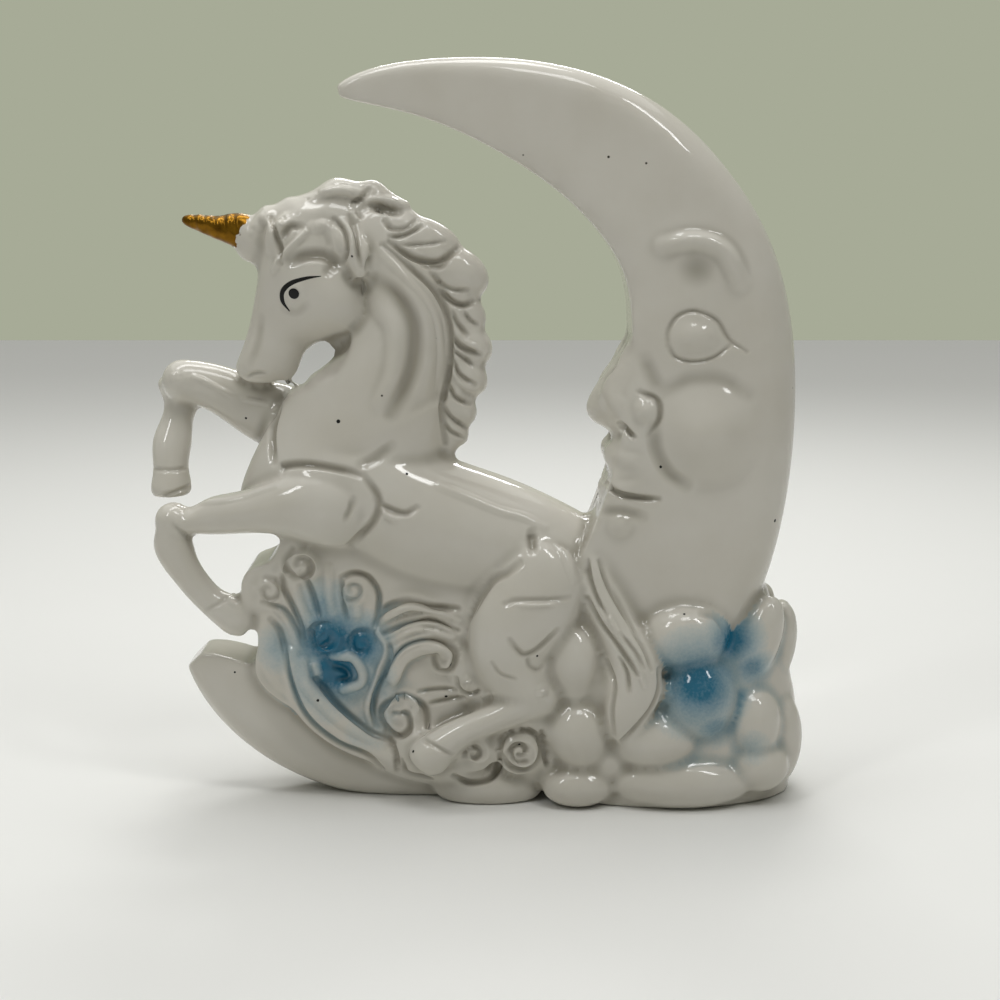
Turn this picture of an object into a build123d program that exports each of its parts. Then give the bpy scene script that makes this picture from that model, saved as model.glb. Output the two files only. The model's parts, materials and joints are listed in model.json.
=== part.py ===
from build123d import *
import math
import os

# Unicorn figurine in white glazed porcelain: a rearing unicorn over scrolls and clouds,
# set against a crescent moon with a face in profile. Millimetres, +Z up, -Y is the front
# (near) side, and the unicorn looks towards -X. The origin is the middle of the footprint.

os.makedirs("parts", exist_ok=True)

near = -1
far = 1

# Crescent moon
moon_radius = 74.0
moon_centre_x = -9.75
moon_thickness = 22.0
moon_brow_width = 3.6
moon_cheek_width = 18.0
moon_nose_length = 18.5
moon_nose_depth = 12.6
moon_nose_width = 15.0
moon_lip_width = 14.0
moon_lip_depth = 6.2
moon_relief = 1.4

# Unicorn body
torso_chest_x = -43.45
torso_chest_height = 71.0
torso_length = 70.0
torso_drop = 23.0
torso_depth = 28.4
torso_width = 26.0
neck_rise = 51.5
neck_reach = 9.0
neck_depth = 31.2
neck_width = 21.0
head_length = 38.4
head_depth = 26.0
head_width = 16.0
head_pitch = 55.4
horn_length = 15.0
horn_diameter = 6.8
horn_tip_diameter = 2.2
horn_lift = 13.0
mane_depth = 7.6
mane_width = 8.4
lock_length = 13.0
lock_width = 8.0
forelock_length = 17.0
forelock_width = 5.4

# Legs and tail
foreleg_reach = 40.2
foreleg_depth = 15.0
foreleg_width = 11.6
shin_reach = 15.3
shin_drop = 22.2
shin_depth = 8.0
raised_foreleg_reach = 26.4
raised_foreleg_rise = 9.3
raised_foreleg_depth = 14.4
raised_foreleg_width = 11.0
raised_shin_drop = 23.5
raised_shin_depth = 8.2
thigh_drop = 30.0
thigh_depth = 20.4
thigh_width = 14.4
cannon_reach = 25.5
cannon_drop = 14.7
cannon_depth = 8.4
tail_reach = 9.0
tail_drop = 38.0
tail_depth = 11.0
tail_width = 6.8

# Clouds and scrolls
base_centre_x = 39.65
base_length = 52.0
base_depth = 28.0
base_height = 45.0
puff_size = 9.0
bank_left_x = -47.95
bank_length = 72.6
bank_height = 57.0
bank_thickness = 18.4
curl_radius = 4.6
roll_depth = 4.0
leaf_width = 7.0
leaf_rise = 4.4
wave_width = 4.0
wave_rise = 3.6


def station(place, half_depth, half_width):
    """One place along a limb: x, y, z and the half sizes of the oval there."""
    return (place, half_depth, half_width)


def stations_from(anchor, span, depth, width, station_shares):
    """A limb's stations, from shares of its span, its full depth and its full width."""
    return [
        station(
            (
                anchor[0] + span[0] * along,
                anchor[1] + span[1] * aside,
                anchor[2] + span[2] * up,
            ),
            depth / 2 * deep,
            width / 2 * wide,
        )
        for along, aside, up, deep, wide in station_shares
    ]


def limb(stations):
    """Loft a limb through ovals that stand square to its run in the XZ plane."""
    sections = []
    last = len(stations) - 1
    for index, (place, half_depth, half_width) in enumerate(stations):
        before = stations[max(index - 1, 0)][0]
        after = stations[min(index + 1, last)][0]
        run = (after[0] - before[0], 0, after[2] - before[2])
        plane = Plane(origin=place, x_dir=(0, 1, 0), z_dir=run)
        with BuildSketch(plane) as section:
            Ellipse(half_width, half_depth)
        sections.append(section.sketch)
    loft(sections)


def pebble(centre, direction, half_length, half_round):
    """A smooth pebble: half an ellipse turned about its long axis."""
    across = (1, 0, 0) if direction[1] else (0, -1, 0)
    plane = Plane(origin=centre, x_dir=direction, z_dir=across)
    with BuildSketch(plane) as half_outline:
        with BuildLine():
            EllipticalCenterArc((0, 0), half_length, half_round, start_angle=0, arc_size=180)
            Line((-half_length, 0), (half_length, 0))
        make_face()
    revolve(half_outline.sketch, axis=Axis(centre, direction))


def tilted(degrees):
    """A direction in the XZ plane, measured upwards from +X."""
    return (math.cos(math.radians(degrees)), 0, math.sin(math.radians(degrees)))


def seat_against(*forms):
    """Cut the piece being made where its neighbours' forms stand, so that they meet face to face."""
    for form in forms:
        add(form, mode=Mode.SUBTRACT)


# Crescent moon: angle about the moon's centre, then outer radius, inner radius and
# thickness as shares; full and rounded outside, crisp along the inner edge
moon_station_shares = [
    (104.6, 0.955, 0.925, 0.17),
    (103.0, 0.966, 0.910, 0.22),
    (97.0, 0.984, 0.872, 0.27),
    (86.0, 1.000, 0.818, 0.36),
    (70.0, 1.040, 0.757, 0.52),
    (52.0, 1.072, 0.714, 0.70),
    (34.0, 1.062, 0.651, 0.86),
    (16.0, 1.026, 0.562, 0.97),
    (0.0, 1.000, 0.519, 1.00),
    (-16.0, 1.008, 0.505, 1.00),
    (-32.0, 1.036, 0.515, 0.98),
    (-52.0, 1.050, 0.570, 0.90),
    (-74.0, 1.060, 0.660, 0.76),
    (-94.0, 1.068, 0.735, 0.69),
    (-110.0, 1.062, 0.790, 0.67),
    (-122.0, 1.035, 0.806, 0.66),
    (-131.0, 0.990, 0.835, 0.62),
    (-136.0, 0.950, 0.885, 0.50),
]
moon_outer_rounding_share = 0.44
moon_inner_rounding_share = 0.16
moon_centre_height = moon_radius * 1.031


def moon_place(angle, radius_share, side_share):
    """A place on the moon by its angle and shares of its radius and its half thickness."""
    direction = tilted(angle)
    return (
        moon_centre_x + moon_radius * radius_share * direction[0],
        moon_thickness / 2 * side_share,
        moon_centre_height + moon_radius * radius_share * direction[2],
    )


# Places on the moon's face, as shares of its radius and of each feature's own sizes
moon_inner_edge_share = 0.519
moon_nose_base_height = moon_nose_length * 0.02
moon_nose_shares = [
    (0.00, -0.14, 0.60, 0.80),
    (0.25, 0.02, 1.00, 1.00),
    (0.50, -0.08, 0.86, 0.80),
    (0.75, -0.20, 0.60, 0.56),
    (1.00, -0.34, 0.36, 0.34),
]
moon_mouth_shares = [
    (0.34, 0.00, 1.05, 1.00),
    (0.86, 0.14, 1.00, 1.06),
    (1.38, -0.06, 1.10, 1.90),
]
moon_relief_shares = [
    (20.7, 0.756, -3, 0.76, 0.48),
    (-0.3, 0.745, 82, 1.06, 0.94),
    (5.5, 0.606, 60, 0.38, 0.34),
]
moon_brow_shares = [
    (39.5, 0.785, 0.35),
    (39.0, 0.845, 0.80),
    (35.5, 0.890, 1.00),
    (31.0, 0.905, 0.80),
    (27.0, 0.890, 0.35),
]


def moon_side_share(angle):
    """The share of the full thickness that the moon has at an angle, read from its stations."""
    for before, after in zip(moon_station_shares, moon_station_shares[1:]):
        if before[0] >= angle >= after[0]:
            part = (before[0] - angle) / (before[0] - after[0])
            return before[3] + (after[3] - before[3]) * part
    return moon_station_shares[-1][3]


with BuildPart() as crescent_moon:
    moon_sections = []
    for angle, outer, inner, thick in moon_station_shares:
        radial = moon_radius * (outer - inner)
        thickness = moon_thickness * thick
        section_plane = Plane(
            origin=moon_place(angle, (outer + inner) / 2, 0), x_dir=(0, 1, 0), z_dir=tilted(angle + 90)
        )
        with BuildSketch(section_plane) as moon_section:
            Rectangle(thickness, radial)
            slimmest = min(thickness, radial)
            outer_corners = moon_section.vertices().group_by(Axis.Y)[0]
            inner_corners = moon_section.vertices().group_by(Axis.Y)[-1]
            fillet(outer_corners, slimmest * moon_outer_rounding_share)
            fillet(inner_corners, slimmest * moon_inner_rounding_share)
        moon_sections.append(moon_section.sketch)
    loft(moon_sections)

    # The nose stands out of the inner edge, with a nostril wing on each cheek
    nose_sections = []
    for along, forward, deep, wide in moon_nose_shares:
        centre = moon_place(0, moon_inner_edge_share, 0)
        place = (
            centre[0] - moon_nose_depth * forward,
            0,
            centre[2] + moon_nose_base_height + moon_nose_length * along,
        )
        with BuildSketch(Plane(origin=place, x_dir=(0, 1, 0), z_dir=(0, 0, 1))) as nose_section:
            Ellipse(moon_nose_width / 2 * wide, moon_nose_depth / 2 * deep)
        nose_sections.append(nose_section.sketch)
    loft(nose_sections)

    # Lips and chin run across the inner edge
    for drop, forward, long, deep in moon_mouth_shares:
        centre = moon_place(0, moon_inner_edge_share, 0)
        place = (centre[0] - moon_lip_depth * forward, 0, centre[2] - moon_lip_width * drop)
        pebble(place, (0, 1, 0), moon_lip_width / 2 * long, moon_lip_depth / 2 * deep)

    # Eye, cheek, nostril wing and brow stand proud of each side
    for side in (near, far):
        for angle, radius, tilt, long, round_share in moon_relief_shares:
            half_round = moon_cheek_width / 2 * round_share
            surface = moon_place(angle, radius, side * moon_side_share(angle))
            place = (surface[0], surface[1] - side * (half_round - moon_relief), surface[2])
            pebble(place, tilted(tilt), moon_cheek_width / 2 * long, half_round)
        brow_stations = []
        for angle, radius, deep in moon_brow_shares:
            place = moon_place(angle, radius, side * moon_side_share(angle))
            half = moon_brow_width / 2 * deep
            brow_stations.append(station(place, half, half * 0.8))
        limb(brow_stations)

    # The keel is ground flat where the figurine stands
    split(bisect_by=Plane.XY, keep=Keep.TOP)
moon_form = crescent_moon.part


# Torso: a barrel from the chest down to the rump
torso_station_shares = [
    (0.00, 0, 0.00, 0.20, 0.20),
    (0.05, 0, 0.00, 0.60, 0.60),
    (0.15, 0, -0.09, 0.88, 0.88),
    (0.31, 0, -0.33, 0.96, 1.00),
    (0.48, 0, -0.61, 1.00, 0.98),
    (0.65, 0, -0.76, 0.95, 0.93),
    (0.79, 0, -0.87, 0.84, 0.88),
    (0.91, 0, -0.95, 0.68, 0.72),
    (1.00, 0, -1.00, 0.30, 0.35),
]
torso_anchor = (torso_chest_x, 0, torso_chest_height)
torso_span = (torso_length, 0, torso_drop)
torso_stations = stations_from(torso_anchor, torso_span, torso_depth, torso_width, torso_station_shares)
with BuildPart() as unicorn_torso:
    limb(torso_stations)
    seat_against(moon_form)
torso_form = unicorn_torso.part

# Neck: rises from the shoulders, arches back, then forward to the poll
neck_station_shares = [
    (0.00, 0, 0.00, 1.00, 1.00),
    (0.10, 0, 0.32, 1.00, 0.92),
    (0.54, 0, 0.45, 0.82, 0.83),
    (0.80, 0, 0.56, 0.69, 0.77),
    (1.00, 0, 0.72, 0.57, 0.70),
    (0.68, 0, 0.88, 0.52, 0.64),
    (-0.12, 0, 1.00, 0.44, 0.58),
]
shoulder = torso_stations[3][0]
neck_anchor = (shoulder[0] - torso_depth * 0.07, 0, shoulder[2] + torso_depth * 0.05)
neck_span = (neck_reach, 0, neck_rise)
neck_stations = stations_from(neck_anchor, neck_span, neck_depth, neck_width, neck_station_shares)

# Head: ovals along one straight axis from the poll to the muzzle
head_station_shares = [
    (-0.10, 0.00, 0.34, 0.40),
    (0.00, 0.00, 0.65, 0.72),
    (0.26, 0.05, 1.00, 1.00),
    (0.51, 0.16, 0.82, 0.94),
    (0.71, 0.115, 0.45, 0.64),
    (0.85, 0.15, 0.40, 0.58),
    (0.955, 0.115, 0.27, 0.44),
    (1.00, 0.09, 0.10, 0.18),
]
poll = (neck_stations[-1][0][0] - neck_depth * 0.09, 0, neck_stations[-1][0][2] + neck_depth * 0.11)
head_axis = tilted(180 + head_pitch)
jaw_side = tilted(head_pitch - 90)


def head_place(along_share, offset_share):
    """A place in the head's middle plane, by shares of its length and its depth."""
    along = head_length * along_share
    offset = head_depth * offset_share
    return (
        poll[0] + head_axis[0] * along + jaw_side[0] * offset,
        0,
        poll[2] + head_axis[2] * along + jaw_side[2] * offset,
    )


with BuildPart() as unicorn_head:
    head_sections = []
    for along, offset, deep, wide in head_station_shares:
        section_plane = Plane(origin=head_place(along, offset), x_dir=(0, 1, 0), z_dir=head_axis)
        with BuildSketch(section_plane) as head_section:
            Ellipse(head_width / 2 * wide, head_depth / 2 * deep)
        head_sections.append(head_section.sketch)
    loft(head_sections)
head_form = unicorn_head.part

with BuildPart() as unicorn_neck:
    limb(neck_stations)
    neck_form = unicorn_neck.part
    seat_against(torso_form, head_form)

# Horn: a blunt cone with shallow ribs, turned about its own axis
horn_rib_count = 6
horn_rib_rise_share = 0.018
horn_base = head_place(0.33, -0.40)
horn_plane = Plane(origin=horn_base, x_dir=tilted(180 - horn_lift), z_dir=(0, -1, 0))
with BuildPart() as horn:
    with BuildSketch(horn_plane) as horn_profile:
        with BuildLine():
            rib_points = []
            for rib in range(horn_rib_count * 2 + 1):
                along_share = rib / (horn_rib_count * 2)
                taper = 1 - along_share**1.4
                radius = (horn_tip_diameter + (horn_diameter - horn_tip_diameter) * taper) / 2
                ripple = horn_diameter * horn_rib_rise_share * (rib % 2)
                rib_points.append((horn_length * along_share, radius + ripple))
            Spline(*rib_points)
            tip_radius = horn_tip_diameter / 2
            CenterArc((horn_length, 0), tip_radius, 0, 90)
            Line((horn_length + tip_radius, 0), (0, 0))
            Line((0, 0), rib_points[0])
        make_face()
    revolve(horn_profile.sketch, axis=Axis(horn_base, tilted(180 - horn_lift)))
    seat_against(head_form)

# Forelock: a tuft over the poll and two strands down each side of the face
crown_shares = [
    (0.00, 0, 0.00, 0.30, 0.50),
    (0.18, 0, 0.14, 0.75, 0.90),
    (0.45, 0, 0.24, 1.00, 1.10),
    (0.75, 0, 0.24, 0.95, 1.10),
    (1.00, 0, 0.12, 0.60, 0.80),
]
side_strand_shares = [
    (0.00, 0.60, 0.00, 0.50, 0.40),
    (0.16, 0.85, -0.20, 0.90, 0.70),
    (0.26, 1.00, -0.42, 0.85, 0.70),
    (0.31, 1.00, -0.68, 0.35, 0.35),
]
brow_strand_shares = [
    (0.00, 0.45, 0.00, 0.50, 0.40),
    (-0.16, 0.70, -0.10, 0.90, 0.80),
    (-0.30, 0.75, -0.25, 0.80, 0.70),
    (-0.36, 0.75, -0.44, 0.30, 0.30),
]
crown_start = head_place(0.15, -0.335)
strand_start = head_place(0.02, 0.00)
brow_start = head_place(0.10, -0.22)
with BuildPart() as forelock:
    crown_span = (forelock_length, 0, forelock_length)
    limb(stations_from(crown_start, crown_span, forelock_width, forelock_width * 1.5, crown_shares))
    for side in (near, far):
        strand_span = (forelock_length, side * head_width / 2 * 0.85, forelock_length)
        limb(stations_from(strand_start, strand_span, forelock_width, forelock_width, side_strand_shares))
        limb(stations_from(brow_start, strand_span, forelock_width, forelock_width, brow_strand_shares))
    forelock_form = forelock.part
    seat_against(head_form, neck_form)

# Mane: a crest along the back of the neck with billowing locks
mane_core_shares = [
    (0.02, 0, 1.115, 0.40, 0.50),
    (0.40, 0, 1.085, 0.66, 0.80),
    (1.12, 0, 1.00, 0.85, 1.00),
    (1.75, 0, 0.89, 0.95, 1.00),
    (2.10, 0, 0.76, 0.90, 0.95),
    (2.14, 0, 0.60, 0.80, 0.85),
    (2.18, 0, 0.47, 0.75, 0.80),
    (2.08, 0, 0.34, 0.70, 0.75),
    (1.95, 0, 0.20, 0.60, 0.65),
    (1.90, 0, 0.12, 0.35, 0.40),
]
lock_shares = [
    (0.55, 1.135, -12, 0.92, 0.80),
    (0.92, 1.055, -35, 0.75, 0.75),
    (1.55, 0.975, -24, 1.10, 0.95),
    (2.25, 0.845, -34, 0.98, 1.15),
    (2.40, 0.690, -50, 0.72, 0.85),
    (2.52, 0.565, -48, 0.74, 0.90),
    (2.44, 0.440, -50, 0.70, 0.85),
    (2.24, 0.315, -55, 0.64, 0.78),
    (2.12, 0.225, -60, 0.56, 0.66),
]
with BuildPart() as mane:
    limb(stations_from(neck_anchor, neck_span, mane_depth, mane_width, mane_core_shares))
    for along, up, tilt, long, round_share in lock_shares:
        lock_centre = (neck_anchor[0] + neck_reach * along, 0, neck_anchor[2] + neck_rise * up)
        pebble(lock_centre, tilted(tilt), lock_length / 2 * long, lock_width / 2 * round_share)
    seat_against(neck_form, head_form, forelock_form, torso_form)

# Near foreleg: a shoulder, a level forearm, and a shin folded back down to the hoof
foreleg_shares = [
    (0.00, 0.90, 0.00, 0.47, 0.52),
    (0.08, 0.96, 0.01, 0.88, 0.86),
    (0.18, 1.00, 0.03, 1.01, 1.00),
    (0.32, 1.00, 0.05, 0.96, 0.97),
    (0.47, 0.95, 0.04, 0.75, 0.86),
    (0.65, 0.88, 0.01, 0.57, 0.72),
    (0.83, 0.78, -0.02, 0.46, 0.62),
    (1.00, 0.67, -0.04, 0.48, 0.62),
]
shin_shares = [
    (0.00, 1.00, 0.00, 0.85, 0.90),
    (-0.02, 1.00, -0.20, 0.98, 0.88),
    (0.07, 1.00, -0.38, 0.90, 0.84),
    (0.24, 1.00, -0.57, 0.78, 0.80),
    (0.42, 1.00, -0.72, 0.75, 0.80),
    (0.58, 1.00, -0.81, 0.84, 0.88),
    (0.74, 1.00, -0.87, 1.02, 1.00),
    (0.89, 1.00, -0.94, 0.98, 0.96),
    (0.99, 1.00, -1.00, 0.64, 0.66),
]
foreleg_side = torso_width / 2 * 0.69
foreleg_anchor = (shoulder[0] + torso_depth * 0.01, 0, shoulder[2] - torso_depth * 0.11)
foreleg_span = (-foreleg_reach, near * foreleg_side, foreleg_reach)
foreleg_stations = stations_from(
    foreleg_anchor, foreleg_span, foreleg_depth, foreleg_width, foreleg_shares
)
knee = foreleg_stations[-1][0]
shin_span = (shin_reach, 0, shin_drop)
with BuildPart() as foreleg_near:
    limb(foreleg_stations)
    with Locations(knee):
        Sphere(shin_depth * 0.47)
    limb(stations_from(knee, shin_span, shin_depth, shin_depth, shin_shares))
    foreleg_form = foreleg_near.part
    seat_against(torso_form, neck_form)

# Far foreleg: raised higher, its hoof resting against the near knee
raised_foreleg_shares = [
    (-0.14, 0.85, -0.26, 0.90, 0.86),
    (0.12, 1.00, -0.06, 1.00, 1.00),
    (0.38, 1.05, 0.16, 0.92, 0.95),
    (0.62, 1.05, 0.50, 0.76, 0.86),
    (0.84, 0.95, 0.77, 0.65, 0.77),
    (1.00, 0.85, 0.86, 0.60, 0.72),
]
raised_shin_shares = [
    (0.00, 1.00, 0.00, 1.00, 0.95),
    (-0.05, 0.75, -0.22, 0.92, 0.86),
    (-0.10, 0.38, -0.44, 0.89, 0.84),
    (-0.125, 0.05, -0.61, 0.97, 0.90),
    (-0.125, -0.20, -0.76, 0.90, 0.86),
    (-0.12, -0.40, -0.90, 1.02, 0.96),
    (-0.115, -0.50, -1.00, 0.86, 0.84),
]
raised_side = torso_width / 2 * 0.46
chest = torso_stations[1][0]
raised_anchor = (chest[0] + torso_depth * 0.20, 0, chest[2] + torso_depth * 0.24)
raised_span = (-raised_foreleg_reach, far * raised_side, raised_foreleg_rise)
raised_stations = stations_from(
    raised_anchor, raised_span, raised_foreleg_depth, raised_foreleg_width, raised_foreleg_shares
)
raised_knee = raised_stations[-1][0]
raised_shin_span = (raised_shin_drop, far * raised_side * 0.8, raised_shin_drop)
raised_shin_anchor = (raised_knee[0], raised_knee[1] - far * raised_side * 0.1, raised_knee[2])
with BuildPart() as foreleg_far:
    limb(raised_stations)
    with Locations(raised_knee):
        Sphere(raised_shin_depth * 0.54)
    limb(
        stations_from(
            raised_shin_anchor, raised_shin_span, raised_shin_depth, raised_shin_depth,
            raised_shin_shares
        )
    )
    seat_against(torso_form, neck_form, foreleg_form, head_form)

# Hind legs: a deep thigh on each flank and a cannon laid forward to the hoof
thigh_shares = [
    (0.10, 0.68, 0.10, 0.50, 0.50),
    (0.03, 0.80, -0.02, 0.88, 0.80),
    (-0.06, 0.86, -0.24, 1.00, 0.98),
    (-0.17, 0.92, -0.47, 0.98, 1.00),
    (-0.21, 1.00, -0.66, 0.82, 0.86),
    (-0.14, 1.08, -0.82, 0.62, 0.72),
    (-0.05, 1.15, -0.93, 0.42, 0.56),
]
cannon_shares = [
    (0.06, 1.00, 0.04, 0.84, 0.84),
    (-0.09, 1.03, -0.08, 0.92, 0.86),
    (-0.28, 1.08, -0.23, 0.76, 0.76),
    (-0.50, 1.12, -0.39, 0.66, 0.70),
    (-0.66, 1.14, -0.52, 0.72, 0.76),
    (-0.80, 1.15, -0.71, 0.92, 0.86),
    (-0.90, 1.16, -0.86, 1.00, 0.88),
    (-0.96, 1.16, -0.98, 0.66, 0.60),
]
hip = torso_stations[6][0]
hind_side = torso_width / 2 * 0.80
hip_anchor = (hip[0] + thigh_drop * 0.05, 0, hip[2])
thigh_span = (thigh_drop, far * hind_side, thigh_drop)
thigh_stations = stations_from(hip_anchor, thigh_span, thigh_depth, thigh_width, thigh_shares)
hock = thigh_stations[-1][0]
cannon_anchor = (hock[0] + cannon_depth * 0.1, 0, hock[2] + cannon_depth * 0.05)
cannon_span = (cannon_reach, hock[1], cannon_drop)
hock_centre = (cannon_anchor[0], hock[1], cannon_anchor[2])
thigh_forms = {}
with BuildPart() as hind_leg_far:
    limb(thigh_stations)
    with Locations(hock_centre):
        Sphere(cannon_depth * 0.46)
    limb(stations_from(cannon_anchor, cannon_span, cannon_depth, cannon_depth, cannon_shares))
    thigh_forms[far] = hind_leg_far.part
    seat_against(torso_form, moon_form)
with BuildPart() as hind_leg_near:
    mirror(hind_leg_far.part, about=Plane.XZ)
thigh_forms[near] = mirror(thigh_forms[far], about=Plane.XZ)

# Tail: falls from the rump down the near side and lies on the clouds
tail_shares = [
    (0.00, 0.50, 0.00, 0.33, 0.60),
    (0.25, 0.72, -0.22, 0.66, 0.90),
    (0.64, 0.86, -0.42, 0.74, 0.96),
    (0.96, 0.94, -0.58, 0.89, 1.00),
    (1.00, 0.97, -0.71, 1.00, 1.00),
    (0.83, 1.00, -0.83, 0.87, 0.90),
    (0.68, 1.03, -0.94, 0.48, 0.60),
    (0.65, 1.04, -1.00, 0.16, 0.24),
]
rump = torso_stations[7][0]
tail_anchor = (rump[0] + torso_depth * 0.09, 0, rump[2] + torso_depth * 0.13)
tail_span = (tail_reach, near * torso_width * 0.54, tail_drop)
with BuildPart() as tail:
    limb(stations_from(tail_anchor, tail_span, tail_depth, tail_width, tail_shares))
    tail_form = tail.part
    seat_against(torso_form, thigh_forms[near], moon_form)

# Scroll bank: the upright slab under the belly that the carved scrolls stand on
bank_outline_shares = [
    (0.28, 1.00),
    (0.11, 0.955),
    (0.075, 0.885),
    (0.02, 0.855),
    (0.00, 0.805),
    (0.012, 0.735),
    (0.045, 0.695),
    (0.04, 0.57),
    (0.035, 0.475),
    (0.155, 0.33),
    (0.285, 0.21),
    (0.41, 0.10),
    (0.60, 0.05),
    (0.80, 0.05),
    (1.00, 0.07),
]
bank_top_shares = [(1.00, 0.78), (0.62, 0.98)]
bank_edge_share = 0.20


def bank_place(along_share, up_share, side_share=0):
    """A place on the scroll bank, by shares of its length, height and half thickness."""
    return (
        bank_left_x + bank_length * along_share,
        bank_thickness / 2 * side_share,
        bank_height * up_share,
    )


with BuildPart() as scroll_bank:
    with BuildSketch(Plane.XZ) as bank_outline:
        with BuildLine():
            edge_places = [bank_place(along, up) for along, up in bank_outline_shares]
            top_places = [bank_place(along, up) for along, up in bank_top_shares]
            edge_curve = Spline(*[(place[0], place[2]) for place in edge_places])
            Polyline(edge_curve @ 1, *[(place[0], place[2]) for place in top_places], edge_curve @ 0)
        make_face()
    extrude(amount=bank_thickness / 2, both=True)
    split(bisect_by=Plane.XY, keep=Keep.TOP)
    bank_form = scroll_bank.part
    seat_against(torso_form, moon_form, thigh_forms[near], thigh_forms[far], foreleg_form)

# Cloud base: the broad footed mound that carries the moon
base_section_shares = [
    (0.00, 0.000, 1.00, 1.00),
    (0.10, 0.010, 1.00, 1.00),
    (0.32, 0.050, 0.95, 0.93),
    (0.58, 0.135, 0.71, 0.79),
    (0.84, 0.225, 0.40, 0.58),
    (1.00, 0.270, 0.22, 0.36),
]
with BuildPart() as cloud_base:
    base_sections = []
    for up, along, long, deep in base_section_shares:
        place = (base_centre_x + base_length * along, 0, base_height * up)
        with BuildSketch(Plane(origin=place, x_dir=(1, 0, 0), z_dir=(0, 0, 1))) as base_section:
            Ellipse(base_length / 2 * long, base_depth / 2 * deep)
        base_sections.append(base_section.sketch)
    loft(base_sections)
    base_form = cloud_base.part
    seat_against(moon_form, bank_form, tail_form, thigh_forms[near], thigh_forms[far])

# Cloud puffs: along, side and up as shares of the base, tilt, then length and roundness
puff_shares = [
    (0.048, 0.64, 0.790, 0, 1.02, 0.78),
    (0.108, 0.64, 0.502, 90, 1.00, 0.88),
    (0.325, 0.57, 0.370, 90, 0.86, 0.66),
    (0.338, 0.43, 0.733, 70, 1.16, 0.52),
    (-0.069, 0.75, 0.307, 0, 1.02, 0.70),
    (-0.354, 0.66, 0.320, 90, 0.86, 0.74),
    (-0.381, 0.58, 0.607, 90, 0.80, 0.68),
    (-0.370, 0.86, 0.090, 0, 0.80, 0.46),
    (0.040, 0.84, 0.110, 0, 1.60, 0.60),
    (0.432, 0.26, 0.260, 88, 1.16, 0.62),
    (0.344, 0.66, 0.170, 0, 0.74, 0.60),
    (0.431, 0.08, 0.690, 80, 1.06, 0.46),
]
with BuildPart() as cloud_puffs_far:
    for along, aside, up, tilt, long, round_share in puff_shares:
        place = (
            base_centre_x + base_length * along,
            far * base_depth / 2 * aside,
            base_height * up,
        )
        pebble(place, tilted(tilt), puff_size * long, puff_size * round_share)
    split(bisect_by=Plane.XY, keep=Keep.TOP)
    split(bisect_by=Plane.XZ, keep=Keep.BOTTOM)
    seat_against(base_form, moon_form, bank_form, thigh_forms[far])
with BuildPart() as cloud_puffs_near:
    mirror(cloud_puffs_far.part, about=Plane.XZ)
    seat_against(tail_form)


# Carved scrolls: they stand on the bank's faces; the far side repeats the near side
bank_face = bank_thickness / 2
face_plane = Plane.XZ.offset(bank_face)
volute_turns = 3
volute_rib_share = 0.34
volute_rise_share = 0.32


def volute(centre, radius, start_angle, turn):
    """A curl: a raised rib that winds inwards in half turns on an upright face."""
    rib_half = radius * volute_rib_share / 2
    arc_radius = radius - rib_half
    step = arc_radius / volute_turns
    angle = start_angle
    arc_centre = (0, 0)
    with BuildLine(Plane(origin=centre, x_dir=(1, 0, 0), z_dir=(0, -1, 0))) as winding:
        for half_turn in range(volute_turns):
            CenterArc(arc_centre, arc_radius, angle, 180 * turn)
            angle += 180 * turn
            heading = tilted(angle)
            arc_centre = (arc_centre[0] + step * heading[0], arc_centre[1] + step * heading[2])
            arc_radius -= step
    path = winding.line
    with BuildSketch(Plane(origin=path @ 0, x_dir=(0, -1, 0), z_dir=path % 0)) as rib:
        with BuildLine():
            Polyline((0, -rib_half), (radius * volute_rise_share, 0), (0, rib_half), close=True)
        make_face()
    sweep(sections=rib.sketch, path=path)


def stroke(stroke_shares, width, rise):
    """A carved stroke on the near face: a flattened limb, half of it sunk in the bank."""
    stations = []
    for along, up, wide in stroke_shares:
        place = bank_place(along, up, near)
        stations.append(station(place, width / 2 * wide, rise / 2 * min(1, wide * 1.4)))
    limb(stations)


curl_shares = [
    (0.167, 0.861, 0.92, 200, -1),
    (0.075, 0.777, 0.66, 160, -1),
    (0.313, 0.775, 0.66, 240, -1),
    (0.227, 0.619, 0.94, 150, -1),
    (0.336, 0.560, 0.60, 60, -1),
    (0.211, 0.480, 0.52, 120, -1),
    (0.456, 0.335, 1.00, 250, -1),
]
with BuildPart() as scroll_curls_near:
    for along, up, size, start_angle, turn in curl_shares:
        volute(bank_place(along, up, near), curl_radius * size, start_angle, turn)

long_leaf_shares = [
    (0.131, 0.575, 0.35),
    (0.145, 0.485, 0.80),
    (0.172, 0.395, 0.98),
    (0.213, 0.325, 1.00),
    (0.269, 0.262, 0.94),
    (0.331, 0.216, 0.86),
    (0.386, 0.180, 0.70),
    (0.425, 0.120, 0.35),
]
side_leaf_shares = [
    (0.070, 0.700, 0.25),
    (0.072, 0.610, 0.62),
    (0.090, 0.500, 0.62),
    (0.130, 0.400, 0.30),
]
tendril_shares = [
    (0.365, 0.640, 0.16),
    (0.395, 0.586, 0.34),
    (0.392, 0.500, 0.38),
    (0.355, 0.400, 0.34),
    (0.352, 0.300, 0.18),
]
hook_shares = [
    (0.259, 0.540, 0.16),
    (0.300, 0.548, 0.36),
    (0.338, 0.505, 0.42),
    (0.334, 0.450, 0.38),
    (0.300, 0.418, 0.32),
    (0.266, 0.430, 0.16),
]
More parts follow.
